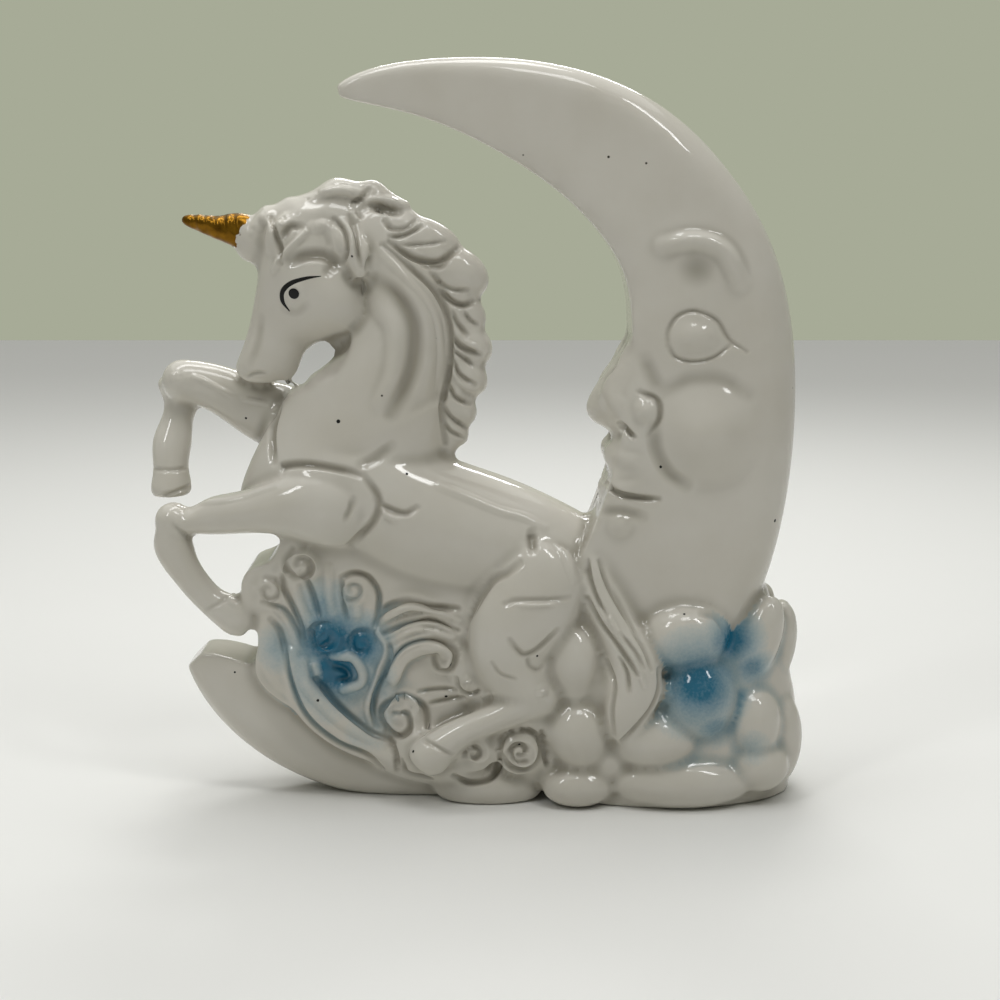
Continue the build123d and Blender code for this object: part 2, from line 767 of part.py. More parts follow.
with BuildPart() as scroll_leaves_near:
    stroke(long_leaf_shares, leaf_width, leaf_rise)
    stroke(side_leaf_shares, leaf_width, leaf_rise * 0.7)
    stroke(tendril_shares, leaf_width, leaf_rise * 0.7)
    stroke(hook_shares, leaf_width, leaf_rise * 0.8)
    split(bisect_by=face_plane, keep=Keep.TOP)
    seat_against(scroll_curls_near.part)

outer_wave_shares = [
    (0.387, 0.686, 0.25),
    (0.430, 0.722, 0.50),
    (0.471, 0.744, 0.58),
    (0.528, 0.726, 0.50),
    (0.585, 0.700, 0.25),
]
inner_wave_shares = [
    (0.409, 0.616, 0.25),
    (0.444, 0.650, 0.50),
    (0.499, 0.677, 0.60),
    (0.555, 0.670, 0.50),
    (0.599, 0.633, 0.25),
]
crest_shares = [
    (0.412, 0.450, 0.35),
    (0.420, 0.520, 0.75),
    (0.445, 0.570, 0.90),
    (0.486, 0.600, 1.00),
    (0.532, 0.605, 0.95),
    (0.572, 0.580, 0.80),
    (0.588, 0.540, 0.65),
    (0.572, 0.502, 0.50),
    (0.545, 0.498, 0.28),
]
with BuildPart() as wave_crest_near:
    stroke(outer_wave_shares, wave_width, wave_rise)
    stroke(inner_wave_shares, wave_width, wave_rise)
    stroke(crest_shares, wave_width, wave_rise)
    split(bisect_by=face_plane, keep=Keep.TOP)
    seat_against(scroll_leaves_near.part, torso_form, thigh_forms[near])

# Foot scrolls: two rolls and a bead at the hind hoof, over a low rim
roll_shares = [(0.650, 0.205, 0.92, 200, -1), (0.778, 0.200, 1.00, 170, -1)]
rim_shares = (0.689, 0.05, 0.82)
bead_shares = (0.634, 0.442, 0.48)
with BuildPart() as foot_scrolls_near:
    for along, up, size, start_angle, turn in roll_shares:
        roll_plane = Plane(origin=bank_place(along, up, near), x_dir=(1, 0, 0), z_dir=(0, -1, 0))
        with BuildSketch(roll_plane):
            Circle(curl_radius * size)
        extrude(amount=roll_depth)
        face_centre = bank_place(along, up, near)
        volute(
            (face_centre[0], face_centre[1] + near * roll_depth, face_centre[2]),
            curl_radius * size * 0.9, start_angle, turn
        )
    pebble(bank_place(rim_shares[0], rim_shares[1], near * rim_shares[2]), (1, 0, 0),
           curl_radius * 2.5, curl_radius * 1.1)
    pebble(bank_place(bead_shares[0], bead_shares[1], near), (0, 1, 0),
           curl_radius * bead_shares[2], curl_radius * bead_shares[2])
    split(bisect_by=Plane.XY, keep=Keep.TOP)
    seat_against(bank_form, moon_form, thigh_forms[near], base_form)

# The far side's carvings repeat the near side's
with BuildPart() as scroll_curls_far:
    mirror(scroll_curls_near.part, about=Plane.XZ)
with BuildPart() as scroll_leaves_far:
    mirror(scroll_leaves_near.part, about=Plane.XZ)
with BuildPart() as wave_crest_far:
    mirror(wave_crest_near.part, about=Plane.XZ)
with BuildPart() as foot_scrolls_far:
    mirror(foot_scrolls_near.part, about=Plane.XZ)

pieces = {
    "crescent_moon": crescent_moon,
    "cloud_base": cloud_base,
    "cloud_puffs_near": cloud_puffs_near,
    "cloud_puffs_far": cloud_puffs_far,
    "scroll_bank": scroll_bank,
    "scroll_curls_near": scroll_curls_near,
    "scroll_curls_far": scroll_curls_far,
    "scroll_leaves_near": scroll_leaves_near,
    "scroll_leaves_far": scroll_leaves_far,
    "wave_crest_near": wave_crest_near,
    "wave_crest_far": wave_crest_far,
    "foot_scrolls_near": foot_scrolls_near,
    "foot_scrolls_far": foot_scrolls_far,
    "unicorn_torso": unicorn_torso,
    "unicorn_neck": unicorn_neck,
    "unicorn_head": unicorn_head,
    "horn": horn,
    "forelock": forelock,
    "mane": mane,
    "foreleg_near": foreleg_near,
    "foreleg_far": foreleg_far,
    "hind_leg_near": hind_leg_near,
    "hind_leg_far": hind_leg_far,
    "tail": tail,
}
for name, piece in pieces.items():
    piece.part.label = name
    export_step(piece.part, "parts/" + name + ".step")
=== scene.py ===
import bpy
import bmesh
import json
import math
import numpy as np
from mathutils import Matrix, Vector
from mathutils.bvhtree import BVHTree

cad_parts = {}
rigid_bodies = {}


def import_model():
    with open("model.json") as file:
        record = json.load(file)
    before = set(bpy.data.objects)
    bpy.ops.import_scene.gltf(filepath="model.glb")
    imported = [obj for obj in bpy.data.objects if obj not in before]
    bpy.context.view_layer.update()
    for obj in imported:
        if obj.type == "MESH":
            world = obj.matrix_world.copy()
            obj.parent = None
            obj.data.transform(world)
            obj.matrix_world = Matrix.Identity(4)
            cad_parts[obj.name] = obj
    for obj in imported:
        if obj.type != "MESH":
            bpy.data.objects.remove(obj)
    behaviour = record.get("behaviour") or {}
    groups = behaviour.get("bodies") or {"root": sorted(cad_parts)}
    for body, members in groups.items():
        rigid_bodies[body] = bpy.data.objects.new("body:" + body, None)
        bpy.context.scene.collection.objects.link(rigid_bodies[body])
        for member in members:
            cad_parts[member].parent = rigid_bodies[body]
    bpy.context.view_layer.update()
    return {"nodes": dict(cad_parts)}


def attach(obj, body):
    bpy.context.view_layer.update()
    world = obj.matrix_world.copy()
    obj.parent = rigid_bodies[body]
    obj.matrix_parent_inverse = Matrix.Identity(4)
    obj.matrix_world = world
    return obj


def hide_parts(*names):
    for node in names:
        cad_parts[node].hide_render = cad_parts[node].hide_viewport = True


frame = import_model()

# Unicorn and moon figurine: slip-cast porcelain, white glaze, gilt horn, airbrushed blue.
# Lengths in the dictionaries are millimetres. The near side is -Y, the unicorn looks to -X.

mm = 0.001
near = -1  # sides of the figurine along y
far = 1


def paint(hexColour):
    channels = [int(hexColour[i:i + 2], 16) / 255 for i in (1, 3, 5)]
    return (*(c / 12.92 if c <= 0.04045 else ((c + 0.055) / 1.055) ** 2.4 for c in channels), 1)


# stage: camera, lights, floor

stageLook = {
    "lens": 61.2,
    "cameraPlace": (4.55, -343.5, 128.5),
    "cameraDown": 11.0,
    "floorSize": 6000,
    "floorEnd": 960,  # how far the table runs behind the figurine
    "tableColour": "#E4E4E0",
    "tableRoughness": 0.7,
    "roomColour": "#E8E8E4",
    "roomStrength": 0.12,
    "wallColour": "#A7AB97",
    "skyPower": 1.12,
    "skyAngle": 80,
    "skyTilt": (-14, -6),
}

cameraData = bpy.data.cameras.new("photoCamera")
cameraData.lens = stageLook["lens"]
cameraData.sensor_width = 36
cameraData.clip_start = 0.01
camera = bpy.data.objects.new("photoCamera", cameraData)
camera.location = Vector(stageLook["cameraPlace"]) * mm
camera.rotation_euler = (math.radians(90 - stageLook["cameraDown"]), 0, 0)
bpy.context.collection.objects.link(camera)
bpy.context.scene.camera = camera

lampLook = {  # place, target, size, power
    "topSoftbox": ((-60, 60, 640), (0, 0, 60), (460, 130), 1.1),
    "windowLeft": ((-330, -330, 520), (-10, 0, 70), (70, 230), 0.55),
    "windowRight": ((300, -260, 560), (20, 0, 70), (60, 200), 0.5),
    "windowHigh": ((70, -220, 600), (0, 0, 60), (170, 110), 0.35),
    "windowBack": ((40, 420, 400), (0, 0, 90), (300, 70), 0.7),
}
for name, (place, target, size, power) in lampLook.items():
    lightData = bpy.data.lights.new(name, "AREA")
    lightData.shape = "RECTANGLE"
    lightData.size = size[0] * mm
    lightData.size_y = size[1] * mm
    lightData.energy = power
    light = bpy.data.objects.new(name, lightData)
    light.location = Vector(place) * mm
    light.rotation_euler = (Vector(target) - Vector(place)).to_track_quat("-Z", "Y").to_euler()
    bpy.context.collection.objects.link(light)
skyData = bpy.data.lights.new("skyThroughBlinds", "SUN")  # wide and soft, the same over the whole table
skyData.energy = stageLook["skyPower"]
skyData.angle = math.radians(stageLook["skyAngle"])
sky = bpy.data.objects.new("skyThroughBlinds", skyData)
sky.rotation_euler = (*(math.radians(tilt) for tilt in stageLook["skyTilt"]), 0)
bpy.context.collection.objects.link(sky)


def addNode(tree, kind, settings=None, links=None):
    node = tree.nodes.new(kind)
    for name, value in (settings or {}).items():
        if isinstance(name, int) or name in node.inputs:
            node.inputs[name].default_value = value
        else:
            setattr(node, name, value)
    for name, source in (links or {}).items():
        tree.links.new(source, node.inputs[name])
    return node


def newMaterial(name):
    material = bpy.data.materials.new(name)
    material.use_nodes = True
    material.node_tree.nodes.clear()
    return material, material.node_tree


# the room: dim soft light, and a grey-green wall that the camera and the gloss see
world = bpy.data.worlds.new("studioRoom")
bpy.context.scene.world = world
world.use_nodes = True
tree = world.node_tree
tree.nodes.clear()
roomLight = addNode(tree, "ShaderNodeBackground", {
    "Color": paint(stageLook["roomColour"]), "Strength": stageLook["roomStrength"]})
wall = addNode(tree, "ShaderNodeBackground", {"Color": paint(stageLook["wallColour"]), "Strength": 1.0})
path = addNode(tree, "ShaderNodeLightPath")
seen = addNode(tree, "ShaderNodeMath", {"operation": "MAXIMUM"}, {
    0: path.outputs["Is Camera Ray"], 1: path.outputs["Is Glossy Ray"]})
room = addNode(tree, "ShaderNodeMixShader", {}, {
    0: seen.outputs[0], 1: roomLight.outputs[0], 2: wall.outputs[0]})
addNode(tree, "ShaderNodeOutputWorld", {}, {"Surface": room.outputs[0]})
bpy.context.scene.view_settings.view_transform = "Standard"

floorMesh = bpy.data.meshes.new("floor")
bm = bmesh.new()
bmesh.ops.create_grid(bm, x_segments=1, y_segments=1, size=stageLook["floorSize"] / 2 * mm)
floorShift = (stageLook["floorEnd"] - stageLook["floorSize"] / 2) * mm
bmesh.ops.translate(bm, verts=bm.verts, vec=(0, floorShift, 0))
bm.to_mesh(floorMesh)
bm.free()
floor = bpy.data.objects.new("floor", floorMesh)
bpy.context.collection.objects.link(floor)
floorPaint, tree = newMaterial("paleMattTable")  # matt paint: even, no reflections
floorShader = addNode(tree, "ShaderNodeBsdfPrincipled", {
    "Base Color": paint(stageLook["tableColour"]), "Roughness": stageLook["tableRoughness"]})
addNode(tree, "ShaderNodeOutputMaterial", {}, {"Surface": floorShader.outputs[0]})
floorMesh.materials.append(floorPaint)
print("stage: camera, lights and floor are in place")

# the casting: one skin over all the fired pieces, carved, then parted into pieces again

castingLook = {
    "voxel": 0.5,
    "fillet": 0.7,  # radius that the slip and the glaze leave in every inner corner
    "overlap": 0.25,  # touching pieces swell into each other by this before they are sealed
    "smoothRounds": 3,
    "smoothFactor": 0.5,
    "mergeWithin": 0.002,  # corners of CAD triangles nearer than this are one
    "seamRounds": 5,  # smoothing of the joint lines between the pieces
    "capDepth": 1.5,  # how far below the skin a cut piece starts to close
    "capPull": 0.8,  # and its cone then goes in by this share of the cut's radius
    "samePlace": 0.0001,  # a corner nearer to the cone's tip than this is the tip
}

pieceNodes = {
    "crescentMoon": ["crescent_moon"],
    "cloudBase": ["cloud_base"],
    "cloudPuffsNear": ["cloud_puffs_near"],
    "cloudPuffsFar": ["cloud_puffs_far"],
    "scrollBank": [
        "scroll_bank", "scroll_curls_near", "scroll_curls_far", "scroll_leaves_near", "scroll_leaves_far",
        "wave_crest_near", "wave_crest_far", "foot_scrolls_near", "foot_scrolls_far",
    ],
    "unicornTorso": ["unicorn_torso"],
    "unicornNeck": ["unicorn_neck"],
    "unicornHead": ["unicorn_head"],
    "giltHorn": ["horn"],
    "forelockHair": ["forelock"],
    "maneHair": ["mane"],
    "forelegNear": ["foreleg_near"],
    "forelegFar": ["foreleg_far"],
    "hindLegNear": ["hind_leg_near"],
    "hindLegFar": ["hind_leg_far"],
    "longTail": ["tail"],
}
pieceNames = list(pieceNodes)

# rounded lumps that join the castings: clouds in the pockets, and the sides of the moon's face
fillLumps = [
    ((19.5, 9.5, 30.5), (6.0, 6.0, 7.8)), ((25.5, 8.0, 25.0), (5.0, 5.5, 9.0)),
    ((20.5, 10.0, 15.5), (6.8, 6.3, 7.0)), ((25.0, 6.0, 40.0), (5.0, 6.0, 6.0)),
    ((12.0, 7.0, 9.0), (7.0, 5.5, 6.5)), ((5.0, 8.0, 16.0), (6.0, 5.0, 8.0)),
    ((11.5, 9.0, 17.5), (6.5, 4.5, 5.5)), ((27.0, 9.0, 9.0), (6.0, 5.0, 6.0)),
    ((-6.0, 7.5, 9.0), (9.0, 5.5, 6.0)), ((-12.5, 7.5, 11.0), (6.0, 5.0, 6.5)),
    ((2.0, 6.5, 27.0), (9.0, 5.5, 9.0)),
    ((30.0, 5.5, 83.5), (5.3, 5.0, 6.3)), ((32.0, 6.0, 89.5), (4.0, 4.5, 6.0)),  # nose
    ((34.5, 6.5, 95.0), (3.5, 4.0, 9.0)),
    ((29.5, 5.0, 72.0), (4.2, 5.5, 3.4)), ((29.8, 5.0, 66.0), (4.2, 5.5, 2.8)),  # lips
    ((29.5, 5.0, 59.5), (4.3, 6.0, 4.5)),  # chin
    ((-44.5, 0.0, 114.5), (4.2, 3.5, 4.5)), ((-48.0, 0.0, 117.5), (4.5, 2.8, 2.6)),  # root of the horn
]

castingMesh = bpy.data.meshes.new("casting")
lumpMesh = bpy.data.meshes.new("fillLumps")
bm = bmesh.new()
for (x, y, z), radii in fillLumps:
    for side in (near, far):
        place = Matrix.Translation(Vector((x, side * y, z)) * mm)
        size = Matrix.Diagonal((*(radius * mm for radius in radii), 1))
        bmesh.ops.create_uvsphere(bm, u_segments=32, v_segments=20, radius=1, matrix=place @ size)
bm.to_mesh(lumpMesh)
bm.free()
bm = bmesh.new()
faceOwner = []
for number, nodeNames in enumerate(pieceNodes.values()):
    for nodeName in nodeNames:
        copy = bmesh.new()
        copy.from_mesh(frame["nodes"][nodeName].data)
        bmesh.ops.remove_doubles(copy, verts=copy.verts, dist=castingLook["mergeWithin"] * mm)
        merged = bpy.data.meshes.new("merged")
        copy.to_mesh(merged)
        copy.free()
        bm.from_mesh(merged)
        bpy.data.meshes.remove(merged)
        faceOwner += [number] * (len(bm.faces) - len(faceOwner))
faceOwner = np.array(faceOwner)
cadTree = BVHTree.FromBMesh(bm)
bm.from_mesh(lumpMesh)
bm.to_mesh(castingMesh)
bm.free()
casting = bpy.data.objects.new("casting", castingMesh)
bpy.context.collection.objects.link(casting)


def addModifier(piece, kind, settings):
    modifier = piece.modifiers.new(kind.lower(), kind)
    for name, value in settings.items():
        setattr(modifier, name, value)


def applyModifiers(piece):
    depsgraph = bpy.context.evaluated_depsgraph_get()
    finished = bpy.data.meshes.new_from_object(piece.evaluated_get(depsgraph))
    piece.modifiers.clear()
    piece.data = finished


def separateBy(piece, kind):
    for other in bpy.context.selected_objects:
        other.select_set(False)
    bpy.context.view_layer.objects.active = piece
    piece.select_set(True)
    bpy.ops.object.mode_set(mode="EDIT")
    bpy.ops.mesh.select_all(action="SELECT")
    bpy.ops.mesh.separate(type=kind)
    bpy.ops.object.mode_set(mode="OBJECT")


def keepLargest(piece):
    before = set(bpy.data.objects)
    separateBy(piece, "LOOSE")
    parts = [piece] + [other for other in bpy.data.objects if other not in before]
    parts.sort(key=lambda part: len(part.data.vertices))
    for small in parts[:-1]:
        bpy.data.objects.remove(small)
    parts[-1].name = "casting"
    return parts[-1]


# swell, seal and shrink again, so that joints and sharp inner corners fill up as slip fills them
voxelSkin = {"mode": "VOXEL", "voxel_size": castingLook["voxel"] * mm}
addModifier(casting, "DISPLACE", {"strength": castingLook["overlap"] * mm, "mid_level": 0})
addModifier(casting, "REMESH", voxelSkin)
applyModifiers(casting)
casting = keepLargest(casting)
swollen = castingLook["fillet"] - castingLook["overlap"]
softening = {"factor": castingLook["smoothFactor"], "iterations": castingLook["smoothRounds"]}
addModifier(casting, "SMOOTH", softening)
addModifier(casting, "DISPLACE", {"strength": swollen * mm, "mid_level": 0})
addModifier(casting, "REMESH", voxelSkin)
applyModifiers(casting)
casting = keepLargest(casting)
addModifier(casting, "DISPLACE", {"strength": -castingLook["fillet"] * mm, "mid_level": 0})
addModifier(casting, "SMOOTH", softening)
applyModifiers(casting)
print("casting skin:", len(casting.data.vertices), "vertices")


# carving: one dictionary for each carved part, used on both sides of its pieces
# a stroke is (depth, half width, points), seen from the side: minus cuts, plus swells


def curl(centre, radius, startAngle, turns, inner=0.25):
    count = max(4, int(abs(turns) * 9))  # nine points to a turn
    points = []
    for step in range(count + 1):
        share = step / count
        angle = math.radians(startAngle + 360 * turns * share)
        reach = radius * (1 - (1 - inner) * share)
        points.append((centre[0] + reach * math.cos(angle), centre[1] + reach * math.sin(angle)))
    return points


headCarving = {
    "pieces": ["unicornHead", "forelockHair", "giltHorn"],
    "strokes": [
        # hollow under the brow
        (-1.2, 1.8, [(-36.5, 111), (-33.5, 112), (-30, 112), (-28, 110.5), (-29, 109)]),
        (0.9, 1.0, [(-40, 109), (-38, 112), (-35.5, 114.5), (-33.5, 116.5)]),  # edge of the brow
        (-1.1, 0.9, [(-40.5, 119), (-39.5, 116.5), (-38.5, 113), (-38.5, 110.5)]),
        (-0.9, 1.1, [(-38, 115.5), (-36.5, 117.5), (-34.5, 117.5)]),
        (0.8, 1.7, [(-44, 116.5), (-43, 118.5), (-41.5, 119.5)]),  # front locks of the forelock
        (0.8, 1.4, [(-39, 117.5), (-38, 119), (-36.5, 119.5)]),
        (-0.9, 0.8, [(-28, 119), (-26, 116.5), (-25.5, 113), (-26.5, 110.5)]),
        (-0.9, 0.8, [(-25, 119.5), (-23.5, 116), (-23, 112), (-22.5, 110)]),
        (-0.8, 0.8, [(-23.5, 120), (-21, 117), (-20.5, 113), (-21.5, 109.5)]),
        (-0.8, 0.9, [(-21, 119.5), (-19, 116), (-19.5, 111.5)]),
        (0.6, 0.8, [(-26.5, 119), (-24.5, 116), (-24, 112)]),
        (0.6, 0.8, [(-24, 120), (-22, 116.5), (-21.5, 112)]),
        (0.9, 1.7, [(-32, 117.5), (-29.5, 117.5), (-28, 115), (-28, 112)]),  # tuft beside the brow
        (0.5, 2.6, [(-36, 105)]),  # eyeball
        (-0.3, 1.2, [(-38, 101.5), (-35.5, 101), (-33.5, 102.5)]),
        (-0.9, 1.7, [(-20.5, 108), (-21, 103), (-21.5, 97.5), (-21, 91)]),  # behind the jaw
        (0.6, 6.5, [(-28, 102)]),  # cheek
        (0.4, 0.9, [(-44, 105), (-45.5, 98), (-48, 92.5)]),  # bridge of the nose
        (-0.4, 1.3, [(-43, 99.5), (-44, 94), (-45.5, 90.5)]),
        (-0.45, 0.6, [(-46.5, 87.5), (-44.5, 88.5), (-42.5, 88.5)]),  # lips
        (0.5, 2.2, [(-57, 119), (-55, 118.5), (-53, 118)]),  # blunt tip of the horn
        (-0.35, 0.8, [(-56.5, 121.5), (-56, 117)]),  # ribs of the horn
        (-0.35, 0.8, [(-54.5, 121.5), (-54, 116.5)]),
        (-0.35, 0.8, [(-52.5, 121.5), (-52, 116)]),
        (-0.35, 0.8, [(-50.5, 121.5), (-50, 115.5)]),
        (-0.35, 0.8, [(-48.5, 121.5), (-48, 115.5)]),
    ],
}

neckCarving = {
    "pieces": ["unicornNeck", "unicornTorso", "maneHair", "unicornHead"],
    "strokes": [
        # long folds behind the jaw
        (-1.1, 2.3, [(-19.5, 107), (-15.5, 104), (-12.5, 98.5), (-12.5, 92), (-14, 86.5), (-17, 81)]),
        (0.8, 2.4, [(-20.5, 103), (-16.5, 97.5), (-16.5, 89.5), (-19, 83)]),
        (0.5, 2.0, [(-15.5, 107), (-10.5, 101), (-9.5, 93), (-10.5, 85)]),
        (-0.9, 1.3, [(-40.5, 81.5), (-41.5, 77), (-41, 71)]),  # edge of the chest
        (-0.6, 1.6, [(-23, 71), (-20.5, 72), (-17, 74.5)]),
        (-1.0, 0.9, [  # parting between neck and mane
            (-18.5, 114), (-13, 109.5), (-8, 104.5), (-5.5, 98), (-5.5, 90), (-7, 82), (-6.5, 74)]),
        (0.5, 1.2, [(-18, 111.5), (-13.5, 107), (-9, 101), (-7.5, 95), (-7.5, 85)]),  # crest of the neck
    ],
}

maneCarving = {
    "pieces": ["maneHair", "forelockHair", "unicornNeck"],
    "strokes": [  # partings from the crown down the neck, and locks swelling between them
        (-1.1, 1.0, [(-34.5, 122.5), (-30, 122), (-25, 122), (-22.5, 123), (-21.5, 124.5)]),
        (0.7, 1.2, [(-31, 124), (-27, 124.5), (-23.5, 124)]),  # lock on the crown
        (-0.9, 0.8, [(-36, 122), (-35.5, 120.5), (-33.5, 119), (-31.5, 119)]),
        (-1.2, 1.4, [(-20.5, 121.5), (-18, 121), (-15.5, 120.5)]),
        (0.6, 1.0, [(-22, 122.5), (-18, 122.8), (-15, 121.5)]),
        (-0.9, 0.9, [(-18, 118.5), (-16.5, 117), (-14, 117), (-12, 118.5)]),
        (-0.8, 0.8, [(-17, 115.5), (-14, 116), (-11, 117.5)]),
        (0.6, 0.9, [(-17, 116.5), (-14, 116.7), (-12, 118)]),
        (-1.3, 1.0, [(-17, 114.5), (-12.5, 111.5), (-8, 110.5), (-4, 113)]),
        (-0.6, 0.7, [(-15, 114), (-11, 114), (-6.5, 114.5)]),
        (-0.9, 0.9, [(-10.5, 110), (-7.5, 109.5), (-6, 111)]),
        (-0.7, 0.8, [(-9, 108.5), (-7, 106), (-4.5, 105), (-2, 105)]),
        (-1.3, 1.0, [(-7.5, 105), (-5.5, 103), (-3, 102), (-1, 102.5)]),
        (-0.9, 0.8, [(-5, 100.5), (-4, 98.5), (-2, 96)]),
        (-0.8, 0.7, [(-2.5, 100.5), (-1.5, 99), (0, 98)]),
        (-1.1, 0.9, [(-5, 95.5), (-3, 93.5), (0.5, 92)]),
        (0.5, 0.8, [(-4.5, 97), (-2.5, 94.8), (0, 93.5)]),
        (-0.9, 0.7, [(-5, 93), (-3, 91.5), (-1, 90)]),
        (-0.9, 0.8, [(-5, 91), (-3.5, 88), (-0.5, 86)]),
        (0.5, 0.8, [(-5, 89), (-3.5, 86.5), (-1, 84.5)]),
        (-1.0, 0.8, [(-6, 86), (-4.5, 83.5), (-1.5, 82)]),
        (-0.9, 0.7, [(-7, 82), (-5.5, 79.5), (-2.5, 77)]),
        (-0.8, 0.7, [(-7, 78.5), (-5.5, 76.5), (-3, 75)]),
    ],
}

forelegCarving = {
    "pieces": ["forelegNear", "unicornTorso"],
    "strokes": [
        (-1.0, 1.2, [(-42, 68.5), (-38, 70.5), (-33, 71), (-26, 70), (-23, 69)]),  # over the shoulder
        (-0.9, 1.2, [(-22.5, 69), (-19.5, 64.5), (-20.5, 60), (-25.5, 54.5)]),  # behind the shoulder
        (-0.6, 1.0, [(-24.5, 64.5), (-25, 62.5), (-26, 60.5)]),
        (0.35, 0.9, [(-40, 67), (-49, 64), (-60, 62.5)]),  # edge of the forearm
        (-0.4, 0.8, [(-61, 58.5), (-59.5, 57), (-58, 55)]),
        (-0.35, 0.7, [(-55.5, 40.5), (-51, 43), (-48, 45)]),  # coronet
        (0.4, 0.8, [(-51, 43), (-48.5, 41.5)]),
        (-0.4, 0.9, [(-25, 53.5), (-23.5, 51.5), (-20.5, 49.5)]),
        (-0.4, 0.9, [(-27, 53), (-25, 50), (-22.5, 48)]),
    ],
}

raisedForelegCarving = {
    "pieces": ["forelegFar"],
    "strokes": [
        (0.35, 0.9, [(-58, 87), (-55.5, 86), (-50, 83)]),  # edge of the forearm
        (0.3, 0.8, [(-48, 82.5), (-43, 81.5)]),
        (-0.35, 0.7, [(-67.5, 68), (-63.5, 68), (-59.5, 68)]),
        (0.35, 1.4, [(-62, 88), (-61.5, 86)]),  # knee
        (-0.4, 0.7, [(-66, 62), (-62.5, 63.5), (-55.5, 65.5)]),
    ],
}

torsoCarving = {
    "pieces": ["unicornTorso"],
    "strokes": [
        (-0.8, 1.1, [(-20, 64.5), (-18.5, 63), (-14.5, 61.5), (-12, 62.5)]),  # shoulder blade
        (0.5, 0.9, [(-19, 62), (-17.5, 61), (-16, 60)]),
        (0.4, 1.2, [(-7.5, 66.5), (-1.5, 64), (4.5, 61.5), (9.5, 60), (13.5, 58)]),
        (-1.1, 1.5, [(11, 57), (11, 54)]),  # dimple of the hip
    ],
}

hindLegCarving = {
    "pieces": ["hindLegNear", "hindLegFar"],
    "strokes": [
        (-1.1, 1.5, [(11, 57), (11, 54)]),  # dimple of the hip
        (-0.7, 1.1, [(8.5, 51.5), (6, 49.5), (2.5, 47), (-2, 39.5), (-3, 36)]),  # front of the thigh
        (0.6, 1.3, [(13, 58.5), (16, 55.5), (18, 52), (19.5, 48)]),
        (-0.5, 0.9, [(5.5, 43.5), (8.5, 44.5), (18.5, 44.5)]),
        (0.35, 0.7, [(8.5, 43.5), (15.5, 43.5)]),
        (-0.7, 0.9, [(6.5, 36.5), (8, 34.5), (9.5, 33.5), (12, 34.5), (16, 38)]),
        (-0.5, 0.7, [(10, 33), (10.5, 31), (12, 30), (13, 30.5)]),
        (-0.4, 0.7, [(3, 31.5), (4.5, 29.5), (7.5, 28.5)]),
        (0.6, 1.5, [(13, 26), (13, 24.5)]),  # hock
        (0.4, 0.7, [(-11, 15.5), (-6.5, 18.5), (3, 24.5)]),
        (-0.5, 0.7, [(-11.5, 15.5), (-8.5, 14.5), (-5, 12.5)]),
    ],
}

tailCarving = {
    "pieces": ["longTail"],
    "strokes": [  # partings between the strands, from the root down
        (-0.9, 0.8, [(22, 51.5), (22.5, 48), (24, 44), (26, 41)]),
        (-0.8, 0.7, [(24.5, 51.5), (26.5, 46), (31, 38.5)]),
        (-0.6, 0.6, [(27, 46), (30.5, 40), (32.5, 36)]),
        (-0.9, 0.8, [(22, 44), (24.5, 39.5), (28.5, 34.5), (32, 29.5)]),
        (-0.6, 0.6, [(28.5, 37.5), (31.5, 34), (33.5, 30.5)]),
        (-0.6, 0.6, [(31, 38), (33.5, 34), (35, 30)]),
        (-0.8, 0.7, [(28.5, 32.5), (30, 29.5), (30.5, 26)]),
        (-0.8, 0.7, [(36.5, 30), (36.5, 26), (34.5, 21.5), (29, 15)]),
        (-0.6, 0.7, [(26, 31.5), (27.5, 27), (27, 21.5), (27.5, 16.5)]),
        (0.5, 0.8, [(25, 43), (28.5, 37), (31.5, 32), (33.5, 27)]),
    ],
}

